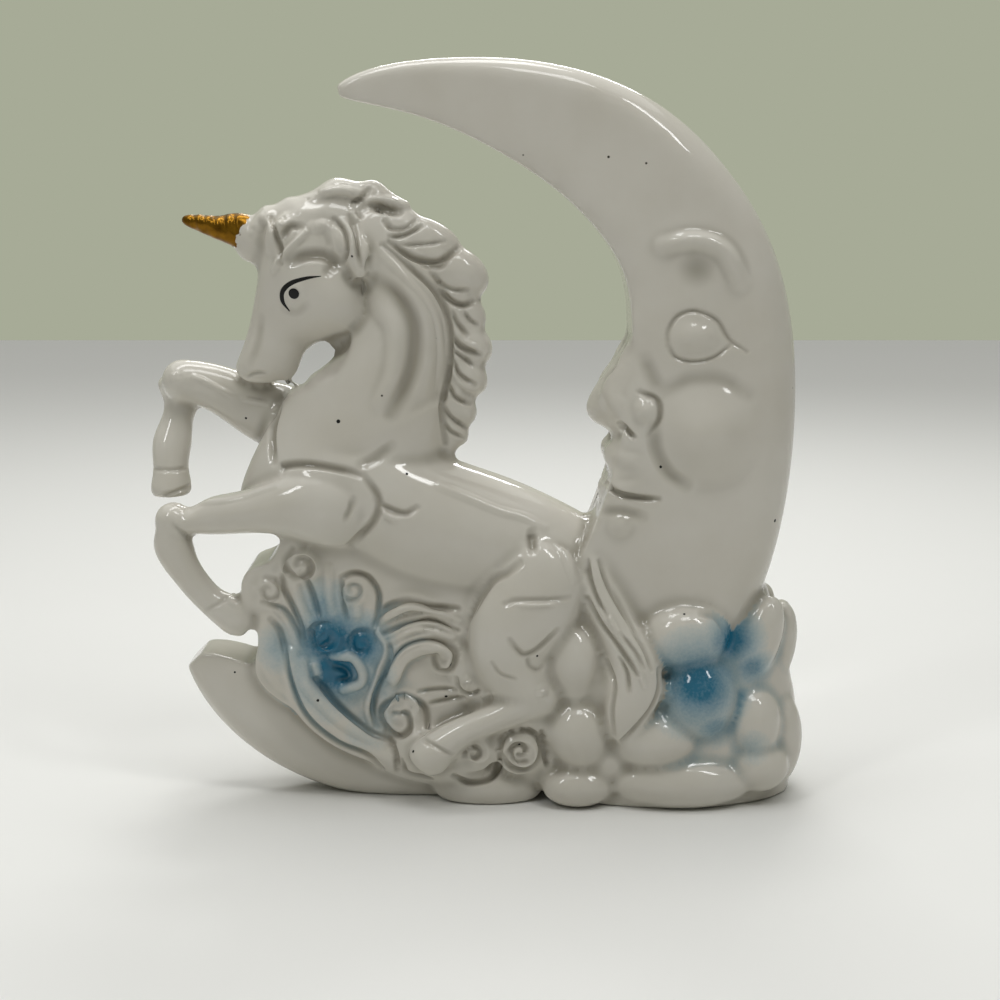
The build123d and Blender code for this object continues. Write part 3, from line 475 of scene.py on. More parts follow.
scrollCarving = {
    "pieces": ["scrollBank"],
    "strokes": [
        (-0.8, 1.1, curl((-35.5, 50.3), 3.6, 120, 1.1)),  # the top curl and its petal
        (-1.0, 0.9, [(-34.5, 47.5), (-33.5, 44.5), (-32, 39)]),
        (-0.7, 1.0, curl((-42.2, 44.8), 2.8, 100, -1.0)),  # the left curl and its petal
        (-1.1, 0.9, [(-39.5, 48), (-39, 45), (-36.5, 39), (-35, 33)]),
        (-1.0, 0.9, [(-43.5, 42.5), (-39.5, 41), (-36.5, 36.5), (-35.5, 33.5)]),
        (-0.9, 0.9, [(-42, 39), (-40, 36), (-38.5, 28.5), (-37.5, 24.5)]),
        (0.7, 1.4, [(-37.5, 47.5), (-36, 42), (-34, 37.5)]),  # petals between the creases
        (0.7, 1.4, [(-30, 49.5), (-30, 44), (-29.5, 40.5)]),
        (0.7, 1.3, [(-24.5, 42), (-24.5, 39)]),
        (0.6, 1.3, [(-41.5, 43), (-38.5, 38.5), (-36.8, 33)]),
        # long leaf
        (-1.2, 0.9, [(-39.5, 34.5), (-38, 26.5), (-35, 19), (-29, 13.5), (-22.5, 10.5), (-20, 7)]),
        (-1.3, 1.0, [(-33, 26.5), (-29, 21), (-23, 15.5), (-17.5, 13)]),
        (1.1, 1.7, [(-35.5, 30), (-34.5, 25), (-27.5, 17.5), (-19.5, 13)]),
        (-0.9, 1.2, curl((-31.3, 35.2), 3.8, 20, 1.1)),  # the blue curl
        (-0.8, 1.1, curl((-23.7, 33.6), 3.0, 30, 1.0)),
        (1.3, 1.3, [(-29.5, 31), (-25.5, 31), (-23.5, 28), (-24, 25.5), (-27.5, 24)]),  # hooked leaf
        (-1.1, 0.9, [(-29, 29), (-27, 28), (-26.5, 26.5), (-28.5, 26)]),
        (1.0, 1.6, [(-33.5, 30), (-32.5, 27)]),
        (-0.7, 1.0, curl((-25.2, 45.0), 2.4, 200, 1.0)),  # the third curl and its hood
        (-1.2, 0.9, [(-27.5, 47.5), (-25, 48.5), (-22, 47.5), (-20, 44), (-20.5, 39), (-21.5, 36)]),
        (-1.0, 0.8, [(-27.5, 47.5), (-27.5, 43.5), (-26.5, 39)]),
        (1.0, 1.0, [(-21, 37), (-18.5, 33), (-20, 28), (-22.5, 21), (-22, 16.5)]),  # tendril
        (-1.2, 1.0, [(-18, 33.5), (-18, 30.5), (-21, 23), (-21.5, 19), (-20.5, 16)]),
        (-1.2, 1.0, [(-21, 37.5), (-19, 41), (-14, 43), (-8, 41.5), (-4, 41)]),  # under the belly
        (0.8, 0.9, [(-19.5, 38.5), (-14, 41.5), (-8, 40.5), (-4, 38.5)]),
        (-1.2, 0.8, [(-19, 36), (-14, 38.5), (-9, 39), (-4, 36.5)]),
        (0.8, 1.0, [(-18, 34), (-12, 37), (-5, 35)]),
        (-1.2, 0.9, [  # the wide curl under the belly
            (-21.5, 21), (-19, 28), (-15, 33.5), (-9, 35), (-4.5, 32.5), (-5.5, 28.5), (-8, 28.5), (-9, 31)]),
        (1.0, 1.5, [(-18, 24), (-14.5, 30.5), (-8.5, 33), (-7, 31.5)]),
        (-0.8, 0.8, [(-12, 23.5), (-8, 24), (-4.5, 24)]),
        (-0.8, 0.8, [(-9.5, 21), (-3, 22.5)]),
        (1.0, 1.8, [(-2, 26.5), (-1.8, 26)]),  # bead
        (-0.9, 0.7, curl((-1.7, 26.2), 2.7, 170, 0.7, 0.95)),
        (-1.3, 0.9, [  # the low curl beside the hoof
            (-10, 15), (-11, 20.5), (-15, 23), (-19, 21), (-20, 18),
            (-17, 14.5), (-14, 16), (-14.5, 19), (-17, 19)]),
        (-1.0, 0.9, [(-19, 15), (-17, 11), (-16.5, 7)]),
        (-1.1, 0.9, [(-15.5, 9.5), (-14.5, 6.5), (-9.5, 6), (-5, 10.5)]),  # block under the hoof
        (-1.1, 0.9, [(-5.5, 7), (-2, 5), (3, 6), (4.5, 9.5), (4.5, 12.5)]),  # rolls at the foot
        (-0.8, 0.8, curl((-0.8, 11.8), 2.0, 200, -1.0)),
        (-1.2, 0.9, curl((8.8, 12.4), 4.6, 180, -0.95, 0.9)),
        (-0.9, 0.8, curl((8.6, 12.2), 2.4, 300, -1.2)),
        (-1.1, 0.9, [(13, 17), (14, 10), (15, 7.5)]),
    ],
}

moonCarving = {
    "pieces": ["crescentMoon"],
    "strokes": [
        (-0.6, 0.7, [  # upper lid
            (37.5, 94.5), (37.5, 97.5), (39.5, 100.5), (43, 101.3), (47, 99.5), (49.5, 95.8), (53, 93.5)]),
        (-0.6, 0.7, [(37.5, 94.8), (39, 92.4), (42.5, 91.5), (46.5, 92.3), (50, 95)]),  # lower lid
        (0.4, 5.4, [(43, 96.5)]),  # eyeball
        (1.5, 2.6, [(36.5, 114), (42.5, 115), (48, 113), (51.5, 107)]),  # brow
        (-0.7, 4.5, [(43, 109.5)]),
        (-0.5, 2.3, [(37, 85.5), (42, 88), (48, 88), (53, 85)]),  # over the cheek
        (1.2, 3.2, [(33.5, 82)]),  # wing of the nose
        (-0.9, 0.9, [(32, 85.5), (35.5, 84), (36, 80.5), (34, 77)]),
        (-1.2, 0.9, [(28.5, 79), (29.5, 78), (31, 76.5)]),  # nostril
        (-0.6, 2.2, [(33, 92), (34.5, 88.5), (36, 86)]),
        (-1.2, 1.0, [(24.5, 68.5), (26, 66.5), (28.5, 65), (32, 64.3), (36, 64)]),  # mouth
        (-0.6, 1.6, [(25, 61.5), (29, 61.5), (33, 60.5)]),
        (0.7, 3.0, [(28.5, 58.5)]),  # chin
        (-0.7, 2.0, [(35, 78.5), (35.5, 74), (38, 69.5), (41.5, 67)]),  # line of the smile
    ],
}

cloudCarving = {
    "pieces": ["cloudPuffsNear", "cloudPuffsFar"],
    "strokes": [
        (-0.5, 0.9, [(45, 41), (48, 40), (50, 37)]),
    ],
}

carvings = [
    headCarving, neckCarving, maneCarving, forelegCarving, raisedForelegCarving, torsoCarving,
    hindLegCarving, tailCarving, scrollCarving, moonCarving, cloudCarving,
]

strokeLook = {
    "spacing": 0.3,  # between the samples along a stroke
    "endShare": 0.45,  # a stroke thins to this share of its depth
    "endLength": 0.2,  # over this share of its length
    "netMargin": 0.6,  # the finer net reaches this far beyond a stroke
    "netWidest": 2,  # wider strokes do without the finer net
    "facingFrom": 0.05,  # a stroke fades where the skin turns away from the side
    "facingSpan": 0.35,
}


def strokeSamples(points, spacing=strokeLook["spacing"]):
    path = np.array(points, dtype=float)
    if len(path) == 1:
        return path, np.ones(1)
    padded = np.vstack([2 * path[0] - path[1], path, 2 * path[-1] - path[-2]])
    samples = []
    for p0, p1, p2, p3 in zip(padded, padded[1:], padded[2:], padded[3:]):
        count = max(2, int(np.linalg.norm(p2 - p1) / spacing))
        t = np.arange(count)[:, None] / count
        samples.append(0.5 * (2 * p1 + (p2 - p0) * t + (2 * p0 - 5 * p1 + 4 * p2 - p3) * t**2
                              + (3 * p1 - p0 - 3 * p2 + p3) * t**3))
    samples = np.vstack(samples + [path[-1:]])
    along = np.linspace(0, 1, len(samples))
    inside = np.clip(np.minimum(along, 1 - along) / strokeLook["endLength"], 0, 1)
    taper = strokeLook["endShare"] + (1 - strokeLook["endShare"]) * inside
    return samples, taper


def readSkin(mesh):
    count = len(mesh.vertices)
    places = np.empty(count * 3)
    mesh.vertices.foreach_get("co", places)
    normals = np.empty(count * 3)
    mesh.vertices.foreach_get("normal", normals)
    edges = np.empty(len(mesh.edges) * 2, dtype=np.int64)
    mesh.edges.foreach_get("vertices", edges)
    return places.reshape(-1, 3) / mm, normals.reshape(-1, 3), edges.reshape(-1, 2)


def moveSkin(mesh, places):
    mesh.vertices.foreach_set("co", (places * mm).ravel())
    mesh.update()
    return readSkin(mesh)


def blur(values, edges, rounds, mask=1):
    count = len(values)
    ends = np.concatenate([edges[:, 0], edges[:, 1]])
    others = np.concatenate([edges[:, 1], edges[:, 0]])
    share = np.bincount(ends, minlength=count)
    columns = values.reshape(count, -1).copy()
    weight = castingLook["smoothFactor"] * mask
    for _ in range(rounds):
        for column in range(columns.shape[1]):
            mean = np.bincount(ends, columns[others, column], minlength=count) / np.maximum(share, 1)
            columns[:, column] += (mean - columns[:, column]) * weight
    return columns.reshape(values.shape)


def nearestPiece(places):
    return np.array([faceOwner[cadTree.find_nearest(Vector(place) * mm)[2]] for place in places])


def onPieces(owners, names):
    return np.isin(owners, [pieceNames.index(name) for name in names])


def nearStroke(places, samples, allowed, reach):
    low = samples.min(axis=0) - reach
    high = samples.max(axis=0) + reach
    picked = np.flatnonzero(
        allowed & (places[:, 0] > low[0]) & (places[:, 0] < high[0])
        & (places[:, 2] > low[1]) & (places[:, 2] < high[1]))
    if not len(picked):
        return picked, picked, picked
    distance = np.linalg.norm(places[picked][:, None, [0, 2]] - samples[None], axis=2)
    closest = distance.argmin(axis=1)
    return picked, closest, np.clip(distance[np.arange(len(picked)), closest] / reach, 0, 1)


def strokeReach(places, owners, carvings):
    reached = np.zeros(len(places), dtype=bool)
    for carving in carvings:
        allowed = onPieces(owners, carving["pieces"])
        for _, halfWidth, points in carving["strokes"]:
            if halfWidth <= strokeLook["netWidest"]:
                samples, _ = strokeSamples(points)
                picked, _, share = nearStroke(places, samples, allowed, halfWidth + strokeLook["netMargin"])
                reached[picked] |= share < 1
    return reached


def strokeShift(places, normals, owners, carvings):
    raised = np.zeros(len(places))
    cut = np.zeros(len(places))
    facing = np.clip((np.abs(normals[:, 1]) - strokeLook["facingFrom"]) / strokeLook["facingSpan"], 0, 1)
    for carving in carvings:
        allowed = onPieces(owners, carving["pieces"])
        for depth, halfWidth, points in carving["strokes"]:
            samples, taper = strokeSamples(points)
            picked, closest, share = nearStroke(places, samples, allowed, halfWidth)
            push = depth * (1 - share**2) ** 2 * taper[closest] * facing[picked]
            raised[picked] = np.maximum(raised[picked], push)
            cut[picked] = np.minimum(cut[picked], push)
    return raised, cut


# a finer net wherever a stroke passes
places, normals, edges = readSkin(casting.data)
owners = nearestPiece(places)
fine = strokeReach(places, owners, carvings) | onPieces(owners, ["giltHorn"])
bm = bmesh.new()
bm.from_mesh(casting.data)
fineEdges = [edge for edge in bm.edges if fine[edge.verts[0].index] and fine[edge.verts[1].index]]
bmesh.ops.subdivide_edges(bm, edges=fineEdges, cuts=1, use_grid_fill=True)
bm.to_mesh(casting.data)
bm.free()
print("finer net:", len(casting.data.vertices), "vertices")

# soft clay before the carving: pushes, spots where the mould is soft, and wide forms
softPushes = [  # middle, radius, shift, pieces
    ((-38.5, 122), 5.0, (0.3, -2.2), ["forelockHair", "unicornHead", "maneHair"]),  # brow of the hair, lower
    ((-42.5, 119.5), 3.5, (-0.5, 1.2), ["forelockHair", "unicornHead", "giltHorn"]),
    ((-33, 125), 5.5, (0.2, -1.6), ["forelockHair", "unicornHead", "maneHair"]),
    ((-16, 124), 5.5, (-0.6, -2.2), ["maneHair", "forelockHair"]),
    ((-36, 89.5), 6.0, (0.5, -2.2), ["unicornNeck", "unicornTorso", "forelegFar", "unicornHead"]),  # throat
    ((-31, 92), 6.0, (1.8, -1.4), ["unicornNeck", "unicornTorso", "forelegFar"]),
    ((-30, 95), 6.0, (3.2, 0.8), ["unicornNeck", "unicornHead", "unicornTorso"]),
]
meltedSpots = [  # middle, radius, rounds, pieces
    ((31, 85), 13, 220, ["crescentMoon"]), ((30, 67), 12, 200, ["crescentMoon"]),
    ((30, 91), 8, 150, ["crescentMoon"]), ((45, 77), 13, 250, ["crescentMoon"]),
    ((33, 98), 9, 150, ["crescentMoon"]), ((32.5, 108), 9, 150, ["crescentMoon"]),
    ((28, 118), 9, 150, ["crescentMoon"]), ((21, 127), 9, 150, ["crescentMoon"]),
    ((12, 134), 8, 120, ["crescentMoon"]), ((43, 113), 12, 220, ["crescentMoon"]),
    ((-36, 76), 8, 60, ["unicornNeck", "unicornTorso"]),
    ((-37.5, 88.5), 4.5, 80, ["unicornHead", "unicornNeck", "unicornTorso", "forelegFar"]),
    ((-12, 19), 5, 40, ["scrollBank", "hindLegNear", "hindLegFar"]),
]
moonForms = {
    "pieces": ["crescentMoon"],
    "strokes": [
        (0.7, 3.0, [(28.5, 91), (26.5, 85), (28.5, 81)]),  # side of the nose
        (0.5, 2.0, [(27.5, 72.5), (32, 71.5)]),
        (0.5, 2.0, [(27.5, 66), (32, 66.5)]),
        (3.0, 12.0, [(46, 77)]),  # cheek
    ],
}
softClay = {
    "skinRounds": 2,  # smoothing of the whole skin
    "carvedRounds": 1,
    "meltEdge": 1.5,  # a spot melts fully in its inner third
    "meltFacing": (2.5, 0.1),  # and fades where the skin turns away from the side
}


def distanceTo(places, centre):
    return np.hypot(places[:, 0] - centre[0], places[:, 2] - centre[1])


places, normals, edges = readSkin(casting.data)
owners = nearestPiece(places)
places = blur(places, edges, softClay["skinRounds"])
for centre, radius, (dx, dz), names in softPushes:
    share = np.clip(distanceTo(places, centre) / radius, 0, 1)
    share = (1 - share**2) ** 2 * onPieces(owners, names)
    places += share[:, None] * np.array([dx, 0, dz])
meltGain, meltLoss = softClay["meltFacing"]
facing = np.clip(np.abs(normals[:, 1]) * meltGain - meltLoss, 0, 1)
for centre, radius, rounds, names in meltedSpots:
    close = np.clip(softClay["meltEdge"] * (1 - distanceTo(places, centre) / radius), 0, 1)
    close *= onPieces(owners, names) * facing
    picked = np.flatnonzero(close)
    renumbered = np.full(len(places), -1)
    renumbered[picked] = np.arange(len(picked))
    inner = renumbered[edges]
    inner = inner[(inner >= 0).all(axis=1)]
    places[picked] = blur(places[picked], inner, rounds, close[picked])
places, normals, edges = moveSkin(casting.data, places)
raised, _ = strokeShift(places, normals, owners, [moonForms])
places, normals, edges = moveSkin(casting.data, places + normals * raised[:, None])
owners = nearestPiece(places)
raised, cut = strokeShift(places, normals, owners, carvings)
carved = blur(places + normals * (raised + cut)[:, None], edges, softClay["carvedRounds"])
places, normals, edges = moveSkin(casting.data, carved)
print("carved")

# attributes for the glaze: where it pools and painted shade darkens creases and grooves, and where the blue
# was sprayed
sprayLook = {
    "pieces": ["cloudBase", "cloudPuffsNear", "cloudPuffsFar", "scrollBank"],
    "spots": [  # middle, radius, strength
        ((44.5, 27), 10.5, 0.98), ((51.5, 34.5), 6.5, 1.0), ((56, 29), 4.5, 0.8), ((48, 18), 5.0, 0.7),
        ((39, 30), 6.0, 0.6), ((56, 13), 3.5, 0.35),
        ((-30, 34), 8.5, 1.1), ((-23.7, 33.5), 6.5, 1.0), ((-29, 28.5), 8.5, 1.1), ((-31, 41), 6.0, 0.6),
        ((-40, 33), 5.0, 0.45), ((-21, 26), 5.0, 0.5), ((-30, 22), 4.5, 0.45), ((-22, 17), 5.0, 0.35),
    ],
    # creases: blue that ran into the creases, made fuller and darker there by the pool mask, so partly
    # painted shade
    "creases": [((50, 24), 17), ((-28, 29), 16)],  # where it ran into the creases
    "creaseStrength": 0.8,
    "edge": 1.25,  # a spot ends this many radii out
    "ridgeLoss": 0.6,  # less of it stays on a ridge
    "facing": (0.2, 0.6),  # it fades where the skin turns away from the side
}
# the pool mask is also painted shade: hollows and carved cuts are darkened in the colour itself
poolAndShadeLook = {"rounds": 12, "hollow": 0.22, "cut": 0.9, "softRounds": 2}  # hollow and cut: depth of a full pool


def sprayShare(places, centre, radius):
    return np.clip(sprayLook["edge"] - distanceTo(places, centre) / radius, 0, 1)


rounded = blur(places, edges, poolAndShadeLook["rounds"])
hollow = np.clip(((rounded - places) * normals).sum(axis=1) / poolAndShadeLook["hollow"], 0, 1)
pooled = blur(np.maximum(hollow, np.clip(-cut / poolAndShadeLook["cut"], 0, 1)), edges, poolAndShadeLook["softRounds"])
spray = np.zeros(len(places))
for centre, radius, strength in sprayLook["spots"]:
    spray = np.maximum(spray, strength * sprayShare(places, centre, radius))
sprayed = onPieces(owners, sprayLook["pieces"])
turned, span = sprayLook["facing"]
spray *= sprayed * np.clip((np.abs(normals[:, 1]) + turned) / span, 0, 1)
spray *= 1 - sprayLook["ridgeLoss"] * np.clip(raised, 0, 1)
# fuller, darker blue in creases and grooves: blue that ran in, and painted shade
for centre, radius in sprayLook["creases"]:
    run = sprayLook["creaseStrength"] * pooled * sprayed
    spray = np.maximum(spray, run * sprayShare(places, centre, radius))


def storeAttribute(mesh, name, values, kind="FLOAT"):
    attribute = mesh.attributes.new(name, kind, "POINT")
    field = "vector" if kind == "FLOAT_VECTOR" else "value"
    attribute.data.foreach_set(field, values.astype(float).ravel())


# pooled: pooled glaze and painted shade in creases and grooves
storeAttribute(casting.data, "pooled", pooled)
storeAttribute(casting.data, "spray", spray)
storeAttribute(casting.data, "skinNormal", normals, "FLOAT_VECTOR")
print("glaze attributes are stored")

# materials

# Porcelain cast in a mould, airbrushed with blue and dipped in clear gloss glaze. To the eye: milky white,
# grey-brown where the glaze pools and painted shade in the creases, blue that ends in fine droplets, small
# sharp reflections that ripple.
glazeLook = {
    "white": ("#D5D2C9", "#C5C0B3"),  # the two tones of the body
    "cloudSize": 14,
    # pool colour: grey-brown pooled glaze, also painted shade in creases and grooves
    "pooled": "#878172",
    "pooledShare": 0.72,
    "blue": ("#62A8C0", "#1D6683"),  # thin and full spray
    "dropletSize": 0.6,
    "driftSize": 6,
    "sprayWander": 0.24,  # how unevenly the spray fell
    "sprayStart": 0.08,
    "speck": "#3A352E",  # iron specks in the body
    "speckSpacing": 9,
    "speckEdge": (0.035, 0.022),  # in parts of the spacing
    "roughness": (0.05, 0.11),
    "driftSpan": (0.3, 0.7),  # the part of the drift that the roughness follows
    "rippleSize": 5,
    "rippleHeight": 0.12,
    "rippleStrength": 0.25,
    "refraction": 1.5,
}


def glazeMaterial(name):
    material, tree = newMaterial(name)
    coords = addNode(tree, "ShaderNodeTexCoord").outputs["Object"]
    poolAndShadeValue = addNode(tree, "ShaderNodeAttribute", {"attribute_name": "pooled"}).outputs["Fac"]
    sprayValue = addNode(tree, "ShaderNodeAttribute", {"attribute_name": "spray"}).outputs["Fac"]
    light, shade = glazeLook["white"]
    clouds = addNode(tree, "ShaderNodeTexNoise", {
        "Scale": 1 / (glazeLook["cloudSize"] * mm), "Detail": 3.0}, {"Vector": coords})
    body = addNode(tree, "ShaderNodeMix", {
        "data_type": "RGBA", 6: paint(light), 7: paint(shade)}, {0: clouds.outputs[0]})
    # the pool colour goes in by the pool mask: pooled glaze and painted shade
    poolAndShadeTint = addNode(tree, "ShaderNodeMath", {
        "operation": "MULTIPLY", 1: glazeLook["pooledShare"]}, {0: poolAndShadeValue})
    bodyPoolAndShade = addNode(tree, "ShaderNodeMix", {"data_type": "RGBA", 7: paint(glazeLook["pooled"])}, {
        0: poolAndShadeTint.outputs[0], 6: body.outputs[2]})
    droplets = addNode(tree, "ShaderNodeTexNoise", {
        "Scale": 1 / (glazeLook["dropletSize"] * mm), "Detail": 2.0}, {"Vector": coords})
    drift = addNode(tree, "ShaderNodeTexNoise", {
        "Scale": 1 / (glazeLook["driftSize"] * mm), "Detail": 2.0}, {"Vector": coords})
    uneven = addNode(tree, "ShaderNodeMath", {"operation": "ADD"}, {
        0: droplets.outputs[0], 1: drift.outputs[0]})
    wander = addNode(tree, "ShaderNodeMath", {
        "operation": "MULTIPLY_ADD", 1: glazeLook["sprayWander"], 2: -glazeLook["sprayWander"]}, {
        0: uneven.outputs[0]})
    mist = addNode(tree, "ShaderNodeMath", {"operation": "ADD", "use_clamp": True}, {
        0: sprayValue, 1: wander.outputs[0]})
    begun = addNode(tree, "ShaderNodeMapRange", {1: 0.0, 2: glazeLook["sprayStart"]}, {0: sprayValue})
    misted = addNode(tree, "ShaderNodeMath", {"operation": "MULTIPLY", "use_clamp": True}, {
        0: mist.outputs[0], 1: begun.outputs[0]})
    thin, full = glazeLook["blue"]
    blueTone = addNode(tree, "ShaderNodeMix", {
        "data_type": "RGBA", 6: paint(thin), 7: paint(full)}, {0: misted.outputs[0]})
    coloured = addNode(tree, "ShaderNodeMix", {"data_type": "RGBA"}, {
        0: misted.outputs[0], 6: bodyPoolAndShade.outputs[2], 7: blueTone.outputs[2]})
    specks = addNode(tree, "ShaderNodeTexVoronoi", {
        "Scale": 1 / (glazeLook["speckSpacing"] * mm)}, {"Vector": coords})
    speckOuter, speckInner = glazeLook["speckEdge"]
    speck = addNode(tree, "ShaderNodeMapRange", {1: speckOuter, 2: speckInner}, {
        0: specks.outputs["Distance"]})
    finished = addNode(tree, "ShaderNodeMix", {"data_type": "RGBA", 7: paint(glazeLook["speck"])}, {
        0: speck.outputs[0], 6: coloured.outputs[2]})
    (low, high), (sharp, dull) = glazeLook["driftSpan"], glazeLook["roughness"]
    roughness = addNode(tree, "ShaderNodeMapRange", {1: low, 2: high, 3: sharp, 4: dull}, {
        0: drift.outputs[0]})
    ripple = addNode(tree, "ShaderNodeTexNoise", {
        "Scale": 1 / (glazeLook["rippleSize"] * mm), "Detail": 1.0}, {"Vector": coords})
    bump = addNode(tree, "ShaderNodeBump", {
        "Strength": glazeLook["rippleStrength"], "Distance": glazeLook["rippleHeight"] * mm}, {
        "Height": ripple.outputs[0]})
    shader = addNode(tree, "ShaderNodeBsdfPrincipled", {"IOR": glazeLook["refraction"]}, {
        "Base Color": finished.outputs[2], "Roughness": roughness.outputs[0], "Normal": bump.outputs[0]})
    output = addNode(tree, "ShaderNodeOutputMaterial", {}, {"Surface": shader.outputs[0]})
    return material, shader, output


glazedPorcelain, _, _ = glazeMaterial("glazedPorcelain")

# Bright gold brushed over the fired glaze and fired again. To the eye: warm metal, darker where the brush
# left it thick, soft reflections, and a ragged lower end where the white glaze shows.
giltLook = {
    "gold": ("#3A2408", "#9A6F22"),  # thick and thin gold
    "roughness": 0.27,
    "brushMark": 1.8,
    "markHeight": 0.1,
    "markStrength": 0.25,
    "goldEnd": -107.4,  # the gold ends at x - slant * z
    "slant": 0.52,
    "raggedness": 4.0,
    "endBlur": 0.1,
}
giltPorcelain, glazeShader, output = glazeMaterial("giltOverGlaze")
tree = giltPorcelain.node_tree
coords = addNode(tree, "ShaderNodeTexCoord").outputs["Object"]
worn = addNode(tree, "ShaderNodeTexNoise", {
    "Scale": 1 / (giltLook["brushMark"] * mm), "Detail": 3.0}, {"Vector": coords})
thick, thin = giltLook["gold"]
tone = addNode(tree, "ShaderNodeMix", {
    "data_type": "RGBA", 6: paint(thick), 7: paint(thin)}, {0: worn.outputs[0]})
brushMark = addNode(tree, "ShaderNodeBump", {
    "Strength": giltLook["markStrength"], "Distance": giltLook["markHeight"] * mm}, {
    "Height": worn.outputs[0]})
gold = addNode(tree, "ShaderNodeBsdfPrincipled", {"Metallic": 1.0, "Roughness": giltLook["roughness"]}, {
    "Base Color": tone.outputs[2], "Normal": brushMark.outputs[0]})
axes = addNode(tree, "ShaderNodeSeparateXYZ", {}, {0: coords})
along = addNode(tree, "ShaderNodeMath", {"operation": "MULTIPLY_ADD", 1: -giltLook["slant"]}, {
    0: axes.outputs["Z"], 2: axes.outputs["X"]})
ragged = addNode(tree, "ShaderNodeMath", {"operation": "MULTIPLY_ADD", 1: giltLook["raggedness"] * mm}, {
    0: worn.outputs[0], 2: along.outputs[0]})
goldEdge = (giltLook["goldEnd"] + giltLook["raggedness"] / 2) * mm
endBlur = giltLook["endBlur"] * mm
bare = addNode(tree, "ShaderNodeMapRange", {1: goldEdge - endBlur, 2: goldEdge + endBlur}, {
    0: ragged.outputs[0]})
partGilt = addNode(tree, "ShaderNodeMixShader", {}, {
    0: bare.outputs[0], 1: gold.outputs[0], 2: glazeShader.outputs[0]})
tree.links.new(partGilt.outputs[0], output.inputs["Surface"])

# Black enamel painted on the fired glaze. To the eye: near black, a little uneven and duller than the glaze.
enamelLook = {
    "black": ("#050506", "#111011"),
    "brushMark": 1.5,
    "roughness": 0.35,
    "refraction": 1.35,
    "thickness": 0.03,
}
blackEnamel, tree = newMaterial("blackOverglazeEnamel")
coords = addNode(tree, "ShaderNodeTexCoord").outputs["Object"]
brushed = addNode(tree, "ShaderNodeTexNoise", {
    "Scale": 1 / (enamelLook["brushMark"] * mm), "Detail": 2.0}, {"Vector": coords})
deep, faint = enamelLook["black"]
ink = addNode(tree, "ShaderNodeMix", {
    "data_type": "RGBA", 6: paint(deep), 7: paint(faint)}, {0: brushed.outputs[0]})
enamel = addNode(tree, "ShaderNodeBsdfPrincipled", {
    "Roughness": enamelLook["roughness"], "IOR": enamelLook["refraction"]}, {"Base Color": ink.outputs[2]})
addNode(tree, "ShaderNodeOutputMaterial", {}, {"Surface": enamel.outputs[0]})
print("materials are made")

# painted eyes and kiln specks lie on the skin

skinTree = BVHTree.FromObject(casting, bpy.context.evaluated_depsgraph_get())
outside = 60  # from here a ray looks for the skin


def onSkin(x, z, side, lift=enamelLook["thickness"]):
    start = Vector((x, side * outside, z)) * mm
    place, normal, _, _ = skinTree.ray_cast(start, Vector((0, -side, 0)))
    return (place + normal * lift * mm, normal) if place else (None, None)


def paintLine(bm, points, halfWidths, side):
    samples, _ = strokeSamples(points, eyePaint["spacing"])
    count = len(samples)
    widths = np.interp(np.linspace(0, 1, count), np.linspace(0, 1, len(halfWidths)), halfWidths)
    tangents = np.gradient(samples, axis=0)
    tangents /= np.linalg.norm(tangents, axis=1)[:, None]
    across = np.column_stack([-tangents[:, 1], tangents[:, 0]])
    made = bmesh.ops.create_grid(bm, x_segments=count - 1, y_segments=4, size=1)["verts"]
    faces = {face for vert in made for face in vert.link_faces}
    for vert in made:
        step = min(count - 1, round((vert.co.x + 1) / 2 * (count - 1)))
        spot = samples[step] + across[step] * widths[step] * vert.co.y
        vert.co = onSkin(spot[0], spot[1], side)[0]
    if side == far:
        bmesh.ops.reverse_faces(bm, faces=list(faces))


def paintDot(bm, x, z, radius, side, height):
    place, normal = onSkin(x, z, side, 0)
    turn = Vector((0, 0, 1)).rotation_difference(normal).to_matrix().to_4x4()
    size = Matrix.Diagonal((radius * mm, radius * mm, height * mm, 1))
    dot = Matrix.Translation(place) @ turn @ size
    bmesh.ops.create_uvsphere(bm, u_segments=24, v_segments=12, radius=1, matrix=dot)


eyePaint = {
    "lash": [(-37, 101), (-38.3, 103), (-38.2, 105), (-36.5, 106.6), (-33.5, 107.6), (-30.5, 108)],
    "lashWidths": [0.1, 0.42, 0.5, 0.42, 0.3, 0.06],  # half widths along the lash
    "spacing": 0.15,
    "pupil": (-35.9, 104.6, 1.08),  # x, z, radius
    "pupilHeight": 0.12,
}
eyeMesh = bpy.data.meshes.new("paintedEyes")
bm = bmesh.new()
for side in (near, far):
    paintLine(bm, eyePaint["lash"], eyePaint["lashWidths"], side)
bmesh.ops.solidify(bm, geom=list(bm.faces), thickness=enamelLook["thickness"] * mm)
for side in (near, far):
    paintDot(bm, *eyePaint["pupil"], side, eyePaint["pupilHeight"])
bmesh.ops.recalc_face_normals(bm, faces=bm.faces)
bm.to_mesh(eyeMesh)
bm.free()

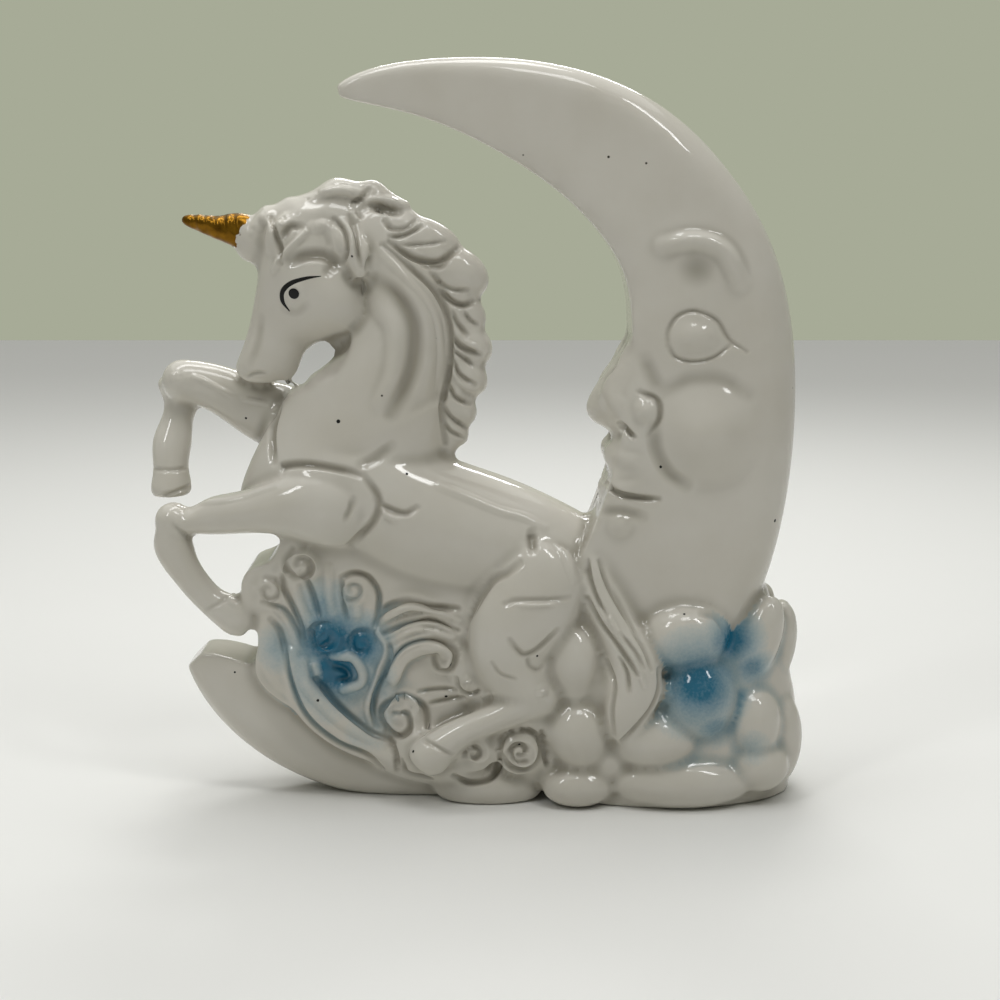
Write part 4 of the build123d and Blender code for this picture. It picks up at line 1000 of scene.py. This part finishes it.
kilnSpecks = {
    "height": 0.05,
    "spots": [  # x, z, radius
        (-27.5, 79.5, 0.4), (-14.0, 69.0, 0.28), (-5.5, 29.5, 0.35), (-6.5, 22.5, 0.32), (-13.0, 13.0, 0.3),
        (8.5, 13.5, 0.25), (12.0, 33.0, 0.25), (36.5, 70.5, 0.3), (60.0, 59.0, 0.35), (41.5, 41.0, 0.25),
        (-32.5, 22.5, 0.3), (-50.0, 27.0, 0.22), (-47.5, 78.5, 0.25),
    ],
}
speckMesh = bpy.data.meshes.new("kilnSpecks")
bm = bmesh.new()
for x, z, radius in kilnSpecks["spots"]:
    if onSkin(x, z, near)[0]:
        paintDot(bm, x, z, radius, near, kilnSpecks["height"])
bm.to_mesh(speckMesh)
bm.free()
for name, mesh in (("paintedEyes", eyeMesh), ("kilnSpecks", speckMesh)):
    mesh.polygons.foreach_set("use_smooth", [True] * len(mesh.polygons))
    mesh.materials.append(blackEnamel)
    piece = bpy.data.objects.new(name, mesh)
    bpy.context.collection.objects.link(piece)
    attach(piece, "root")
print("eyes and specks are painted")

# part the skin into its pieces and close each one where it was cut


def closeCuts(bm):
    skinLayer = bm.verts.layers.float_vector["skinNormal"]
    rims = [edge for edge in bm.edges if edge.is_boundary]
    sunk = bmesh.ops.extrude_edge_only(bm, edges=rims)["geom"]
    for vert in [part for part in sunk if isinstance(part, bmesh.types.BMVert)]:
        vert.co -= vert[skinLayer] * castingLook["capDepth"] * mm
    waiting = {edge for edge in bm.edges if edge.is_boundary}
    while waiting:
        ring = [waiting.pop()]
        for edge in ring:
            for vert in edge.verts:
                for other in vert.link_edges:
                    if other in waiting:
                        waiting.remove(other)
                        ring.append(other)
        corners = {vert for edge in ring for vert in edge.verts}
        middle = sum((vert.co for vert in corners), Vector()) / len(corners)
        outward = sum((vert[skinLayer] for vert in corners), Vector()) / len(corners)
        reach = sum((vert.co - middle).length for vert in corners) / len(corners)
        middle -= outward * reach * castingLook["capPull"]
        cone = bmesh.ops.extrude_edge_only(bm, edges=ring)["geom"]
        tips = [part for part in cone if isinstance(part, bmesh.types.BMVert)]
        bmesh.ops.pointmerge(bm, verts=tips, merge_co=middle)
        for edge in ring:
            for vert in edge.verts:
                vert[skinLayer] = (0, 0, 0)
                for other in vert.link_edges:
                    tip = other.other_vert(vert)
                    if (tip.co - middle).length < castingLook["samePlace"] * mm:
                        tip[skinLayer] = (0, 0, 0)


scores = np.zeros((len(places), len(pieceNames)))
scores[np.arange(len(places)), owners] = 1
owners = blur(scores, edges, castingLook["seamRounds"]).argmax(axis=1)
firstCorner = np.empty(len(casting.data.polygons), dtype=np.int64)
casting.data.polygons.foreach_get("loop_start", firstCorner)
cornerVertex = np.empty(len(casting.data.loops), dtype=np.int64)
casting.data.loops.foreach_get("vertex_index", cornerVertex)
faceNumbers = owners[cornerVertex[firstCorner]].astype(np.int32)
casting.data.materials.clear()
for name in pieceNames:
    casting.data.materials.append(bpy.data.materials.new("mark_" + name))
casting.data.polygons.foreach_set("material_index", faceNumbers)
separateBy(casting, "MATERIAL")
parted = [
    piece for piece in bpy.context.scene.objects
    if piece.type == "MESH" and piece.name.startswith("casting")]
for piece in parted:
    used = piece.data.materials[piece.data.polygons[0].material_index].name
    name = used.replace("mark_", "")
    mesh = piece.data
    bm = bmesh.new()
    bm.from_mesh(mesh)
    closeCuts(bm)
    bm.to_mesh(mesh)
    bm.free()
    mesh.materials.clear()
    mesh.materials.append(giltPorcelain if name == "giltHorn" else glazedPorcelain)
    mesh.polygons.foreach_set("material_index", np.zeros(len(mesh.polygons), dtype=np.int32))
    mesh.polygons.foreach_set("use_smooth", np.ones(len(mesh.polygons), dtype=bool))
    skinNormals = np.empty(len(mesh.vertices) * 3)
    mesh.attributes["skinNormal"].data.foreach_get("vector", skinNormals)
    mesh.normals_split_custom_set_from_vertices(skinNormals.reshape(-1, 3).tolist())
    mesh.attributes.remove(mesh.attributes["skinNormal"])
    piece.name = name
    mesh.name = name
    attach(piece, "root")
    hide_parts(*pieceNodes[name])
    print(name, len(mesh.polygons), "faces")
